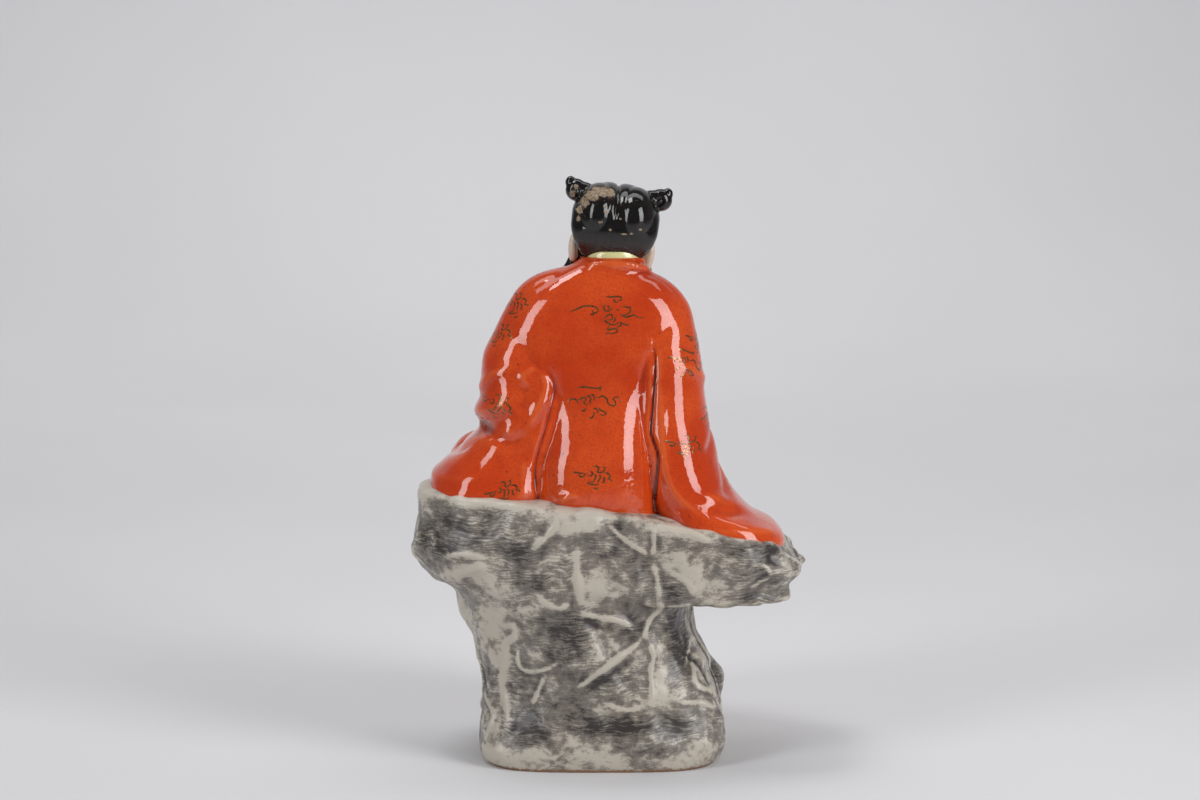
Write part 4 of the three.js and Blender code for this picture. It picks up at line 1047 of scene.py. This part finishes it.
def robe_glaze():
    g = Glaze("iron_red_glaze", Coat_Weight=1.0, Coat_Roughness=0.03, Coat_IOR=1.6, Specular_IOR_Level=0.0)
    colour = g.mix(g.span(g.noise(34, 3), 0.35, 0.65), (0.55, 0.044, 0.004), (0.66, 0.076, 0.010))
    colour = g.mix(g.span(g.noise(1.0, 3, 0.7), 0.42, 0.66, 0, 0.42), colour, (0.36, 0.026, 0.006))
    colour = g.mix(g.span(g.noise(4.0, 4, 0.65), 0.45, 0.72, 0, 0.30), colour, (0.43, 0.034, 0.008))
    specks = g.span(g.noise(1.7, 1, 0.4), 0.73, 0.78, 0, 0.75)
    colour = g.mix(specks, colour, (0.10, 0.018, 0.008))
    # Ridges turn a paler orange, and hollows darken to deep red as painted shade
    hollow = g.mark("hollow")
    colour = g.mix(g.span(hollow, -0.05, -0.35, 0, 0.35), colour, (0.80, 0.17, 0.045))
    colour = g.mix(g.span(hollow, 0.06, 0.5, 0, 0.75), colour, (0.22, 0.016, 0.006))
    # Painted shade: the glaze turns dark brown, almost black, in the creases
    colour = g.mix(g.span(g.mark("crease_shade"), 0.3, 0.9, 0, 0.8), colour, (0.05, 0.013, 0.007))
    g.colour(colour)
    g.rough(g.span(g.noise(6, 2), 0.3, 0.7, 0.28, 0.4))
    g.bumps([(g.noise(11, 3), 0.6, 0.34), (g.noise(2.4, 2), 0.4, 0.05), (g.noise(0.8, 2), 0.35, 0.018)])
    return g.material


def rock_glaze():
    g = Glaze("ink_washed_glaze", Coat_Weight=0.3, Coat_Roughness=0.2, Coat_IOR=1.5, Specular_IOR_Level=0.35)
    bent = g.add("ShaderNodeVectorMath", {0: g.object}, operation="ADD")
    g.feed(bent.inputs[1], g.add("ShaderNodeCombineXYZ", {
        0: 0.0, 1: 0.0, 2: g.span(g.noise(24, 3), 0.2, 0.8, -0.0035, 0.0035, False)}).outputs[0])
    place = bent.outputs[0]
    patches = g.noise(44, 2)
    blotches = g.noise(13, 6, 0.66, (1.5, 1.5, 1), place=place)
    mottle = g.noise(3.2, 6, 0.72, (1.5, 1.5, 1), place=place)
    level = g.noise(0.8, 3, 0.65, (11, 11, 1), place=place)
    slanted = g.noise(0.9, 3, 0.65, (9, 9, 1), turn=(0.4, 0.55, 0), place=place)
    strokes = g.add("ShaderNodeMix", {0: g.span(g.noise(30, 1), 0.42, 0.58), 2: level, 3: slanted}).outputs[0]
    grain = g.noise(0.5, 3, 0.8)
    density = g.math("ADD", 0.43, g.span(patches, 0.35, 0.65, -0.16, 0.16))
    for part, spread in [(blotches, 0.26), (mottle, 0.24), (grain, 0.13), (strokes, 0.13)]:
        density = g.math("ADD", density, g.span(part, 0.30, 0.70, -spread, spread))
    # This mark holds the brush's dabs and, with a minus sign, the painted top light on the rim
    density = g.math("ADD", density, g.math("MULTIPLY", g.mark("wash_and_painted_top_light"), g.span(strokes, 0.32, 0.62, 0.25, 0.95)))
    # Ridges come out paler where the wash runs thin, and hollows darker as painted shade
    density = g.math("ADD", density, g.span(g.mark("hollow"), -0.3, 0.3, -0.35, 0.3, False))
    # Drawn ridge lines come out paler, and drawn grooves darker as painted shade
    density = g.math("SUBTRACT", density, g.math("MULTIPLY", g.mark("lines"), 0.5))
    colour = g.mix(g.span(density, 0.0, 0.55), (0.50, 0.455, 0.385), (0.185, 0.162, 0.138))
    colour = g.mix(g.span(density, 0.5, 1.2), colour, (0.040, 0.033, 0.031))
    warmth = g.span(g.noise(28, 2), 0.52, 0.7, 0, 0.3)
    colour = g.mix(warmth, colour, g.mix(1.0, colour, (1.0, 0.94, 0.84), "MULTIPLY"))
    edge = g.math("ADD", g.height(), g.span(g.noise(2.4, 3), 0.3, 0.7, -0.0008, 0.0009, False))
    colour = g.mix(g.span(edge, 0.0021, 0.0011), colour, (0.26, 0.135, 0.062))
    g.colour(colour)
    g.rough(g.span(mottle, 0.3, 0.7, 0.34, 0.5))
    g.bumps([(g.noise(3.0, 4, 0.6), 0.5, 0.20), (g.noise(0.9, 3), 0.4, 0.07)])
    return g.material


def hair_glaze():
    g = Glaze("mirror_black_glaze", Coat_Roughness=0.04, Coat_IOR=1.55, Specular_IOR_Level=0.0)
    worn = g.mark("worn")
    broken = g.math("ADD", worn, g.span(g.noise(2.4, 5, 0.7), 0.3, 0.7, -0.36, 0.36, False))
    bare = g.span(broken, 0.42, 0.52)
    specks = g.span(g.noise(1.3, 2), 0.70, 0.735, 0, 0.55)
    colour = g.mix(g.span(g.noise(5, 3), 0.5, 0.75, 0, 0.6), (0.0055, 0.0045, 0.0042), (0.020, 0.011, 0.007))
    strand = g.add("ShaderNodeMath", {0: g.mark("fan"), 1: 0.0}, operation="SINE").outputs[0]
    thin = g.math("MULTIPLY", g.mark("nape"), g.span(g.noise(3, 3), 0.35, 0.65, 0.2, 0.8))
    colour = g.mix(g.math("MULTIPLY", g.span(strand, -0.2, 0.9), thin), colour, (0.075, 0.028, 0.018))
    colour = g.mix(g.span(worn, 0.12, 0.5, 0, 0.6), colour, (0.05, 0.034, 0.022))
    colour = g.mix(specks, colour, (0.16, 0.115, 0.07))
    tan = g.mix(g.span(g.noise(1.6, 4, 0.75), 0.35, 0.65), (0.40, 0.31, 0.22), (0.16, 0.115, 0.078))
    colour = g.mix(bare, colour, tan)
    g.colour(colour)
    g.rough(g.span(bare, 0, 1, 0.16, 0.6))
    g.feed(g.shader.inputs["Coat Weight"], g.span(bare, 0, 1, 1.0, 0.1))
    g.bumps([(g.noise(5, 2), 0.5, 0.15), (g.span(bare, 0, 1, 1.0, 0.0), 0.6, 0.12), (g.noise(0.9, 3), 0.3, 0.03)])
    return g.material


def flesh_glaze():
    g = Glaze("flesh_white_glaze", Coat_Weight=0.6, Coat_Roughness=0.1, Coat_IOR=1.5, Specular_IOR_Level=0.4)
    colour = g.mix(g.span(g.noise(9, 3), 0.35, 0.7), (0.66, 0.56, 0.46), (0.58, 0.46, 0.36))
    colour = g.mix(g.math("MULTIPLY", g.mark("blush"), 0.5), colour, (0.62, 0.27, 0.19))
    # Painted shade: hollows of the face and hands darken to brown
    colour = g.mix(g.span(g.mark("hollow"), 0.03, 0.3, 0, 0.6), colour, (0.32, 0.17, 0.11))
    colour = g.mix(g.span(g.noise(1.1, 2), 0.70, 0.75, 0, 0.35), colour, (0.30, 0.2, 0.13))
    g.colour(colour)
    g.rough(g.span(g.noise(3, 2), 0.3, 0.7, 0.3, 0.42))
    g.bumps([(g.noise(6, 2), 0.4, 0.12)])
    return g.material


def under_glaze():
    g = Glaze("pale_yellow_glaze", Coat_Weight=1.0, Coat_Roughness=0.05, Coat_IOR=1.55, Specular_IOR_Level=0.4)
    colour = g.mix(g.span(g.noise(8, 3), 0.35, 0.7), (0.74, 0.72, 0.36), (0.66, 0.60, 0.25))
    # Painted shade: hollows of the under-robe darken to olive
    colour = g.mix(g.span(g.mark("hollow"), 0.04, 0.4, 0, 0.7), colour, (0.36, 0.33, 0.09))
    colour = g.mix(g.span(g.noise(1.2, 2), 0.68, 0.74, 0, 0.4), colour, (0.33, 0.27, 0.10))
    g.colour(colour)
    g.rough(g.span(g.noise(3, 2), 0.3, 0.7, 0.25, 0.38))
    g.bumps([(g.noise(5, 2), 0.4, 0.1)])
    return g.material


def gilt():
    g = Glaze("worn_gilding", Coat_Weight=0.3, Coat_Roughness=0.12, Specular_IOR_Level=0.5)
    wear = g.span(g.noise(1.5, 4, 0.7), 0.40, 0.62)
    g.colour(g.mix(wear, (0.075, 0.018, 0.006), (0.36, 0.17, 0.05)))
    g.feed(g.shader.inputs["Metallic"], g.span(wear, 0, 1, 0.15, 0.8))
    g.rough(g.span(wear, 0, 1, 0.3, 0.2))
    g.bumps([(g.noise(0.5, 2), 0.4, 0.03)])
    return g.material


def painted(name, light, dark):
    g = Glaze(name, Coat_Weight=0.8, Coat_Roughness=0.06, Specular_IOR_Level=0.4)
    g.colour(g.mix(g.span(g.noise(1.0, 3), 0.35, 0.65), light, dark))
    g.rough(0.3)
    g.bumps([(g.noise(1.2, 2), 0.3, 0.02)])
    return g.material


# The stage

def sweep():
    """One pale sheet that runs flat under the figure and curves up behind it."""
    g = Glaze("pale_paper", Specular_IOR_Level=0.1)
    g.colour(g.mix(g.span(g.noise(500, 2), 0.3, 0.7), (0.72, 0.715, 0.73), (0.745, 0.74, 0.755)))
    g.rough(0.9)
    bend, radius, top, near, half = -1.4, 0.8, 3.4, 3.2, 3.4
    profile = [(near, 0.0), (bend, 0.0)]
    profile += [(bend - radius * math.sin(a), radius * (1 - math.cos(a))) for a in np.linspace(0, math.pi / 2, 40)[1:]]
    profile.append((bend - radius, top))
    points = [(x, y, z) for y, z in profile for x in (half, -half)]
    faces = [[2 * k, 2 * k + 1, 2 * k + 3, 2 * k + 2] for k in range(len(profile) - 1)]
    mesh = bpy.data.meshes.new("sweep")
    mesh.from_pydata(points, [], faces)
    mesh.polygons.foreach_set("use_smooth", [True] * len(faces))
    mesh.materials.append(g.material)
    piece = bpy.data.objects.new("sweep", mesh)
    bpy.context.scene.collection.objects.link(piece)


def softbox(name, place, aim, wide, tall, power, spread):
    data = bpy.data.lights.new(name, "AREA")
    data.shape = "RECTANGLE"
    data.size, data.size_y, data.energy, data.spread = wide, tall, power, math.radians(spread)
    light = bpy.data.objects.new(name, data)
    light.location = place
    light.rotation_euler = (Vector(aim) - Vector(place)).to_track_quat("-Z", "Y").to_euler()
    light.visible_camera = False
    bpy.context.scene.collection.objects.link(light)


def around(azimuth, distance, height):
    """A place round the figure, seen from above: 0 is the camera's side and 90 its right."""
    a = math.radians(azimuth)
    return (-math.sin(a) * distance, math.cos(a) * distance, height)


def set_stage():
    scene = bpy.context.scene
    sweep()
    middle = (0, 0, 0.19)
    softbox("key", around(-52, 1.25, 0.68), middle, 0.38, 1.3, 3.1, 110)
    softbox("fill", around(55, 1.3, 0.66), middle, 0.62, 1.3, 6, 110)
    softbox("top", (0.5, -0.05, 1.8), (0, 0, 0.1), 0.5, 0.5, 1.4, 90)
    softbox("paper_light", (0, -0.75, 2.3), (0, -1.5, 0.3), 3.0, 0.9, 15.5, 150)
    softbox("wall_light", (0, -1.35, 2.7), (0, -2.2, 0.2), 3.0, 0.5, 8.2, 100)
    world = bpy.data.worlds.new("studio")
    world.use_nodes = True
    world.node_tree.nodes["Background"].inputs[0].default_value = (0.83, 0.85, 0.9, 1)
    world.node_tree.nodes["Background"].inputs[1].default_value = 0.155
    scene.world = world
    scene.view_settings.view_transform = "Standard"
    scene.view_settings.look = "None"
    # The camera looks down at the back of the figure, as the photograph does
    elevation, distance = math.radians(8), 1.65
    aim = Vector((0.00137, 0, 0.1985))
    data = bpy.data.cameras.new("camera")
    data.sensor_width = 36
    data.lens = 36 * 1650 / 664
    data.clip_start, data.clip_end = 0.1, 20
    camera = bpy.data.objects.new("camera", data)
    camera.location = aim + distance * Vector((0, math.cos(elevation), math.sin(elevation)))
    camera.rotation_euler = (aim - camera.location).to_track_quat("-Z", "Y").to_euler()
    scene.collection.objects.link(camera)
    scene.camera = camera


# All together

set_stage()
rock, robe, under = build_rock(), build_robe(), build_under_robe()
flesh, hair = build_flesh(), build_hair()
pieces = [
    shown("rock", rock, rock_glaze()), shown("robe", robe, robe_glaze()), shown("under_robe", under, under_glaze()),
    shown("face_and_hands", flesh, flesh_glaze()), shown("hair_and_shoe", hair, hair_glaze())]
for piece in pieces:
    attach(piece, "root")
    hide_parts(NODE)
clouds = brush([robe], cloud_strokes())
ink = painted("ink_paint", (0.012, 0.009, 0.008), (0.035, 0.022, 0.016))
brows = face_strokes([([(3.6, 4.6), (7, 6.4), (11, 6.2), (14.4, 4.2)], True), ([(4.4, 0.2), (6.2, 1.5), (9, 1.7), (12, 0.3)], True),
                      ([(5.2, -0.6), (8, -1.3), (11.2, -0.2)], True)], 0.36)
pupils = face_strokes([([(7.7, 1.1), (8.0, 0.2), (8.1, -0.7)], True)], 1.1)
whites = face_strokes([([(5.0, -0.1), (7.0, 0.3), (9.4, 0.2), (11.6, 0.0)], True)], 1.15)
lips = face_strokes([([(-3.6, -13.3), (-1.4, -12.8), (0, -13.1)], False), ([(3.6, -13.3), (1.4, -12.8), (0, -13.1)], False),
                     ([(-2.6, -14.9), (0, -15.4), (2.6, -14.9)], False)], 0.75)
for name, strokes, material in [
        ("gilt_clouds", clouds, gilt()),
        ("painted_brows", brush([flesh], brows), ink),
        ("painted_eyes", brush([flesh], whites), painted("white_paint", (0.72, 0.68, 0.62), (0.66, 0.6, 0.54))),
        ("painted_pupils", brush([flesh], pupils), ink),
        ("painted_lips", brush([flesh], lips), painted("lip_paint", (0.50, 0.10, 0.065), (0.38, 0.06, 0.04)))]:
    piece = shown(name, strokes, material)
    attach(piece, "root")
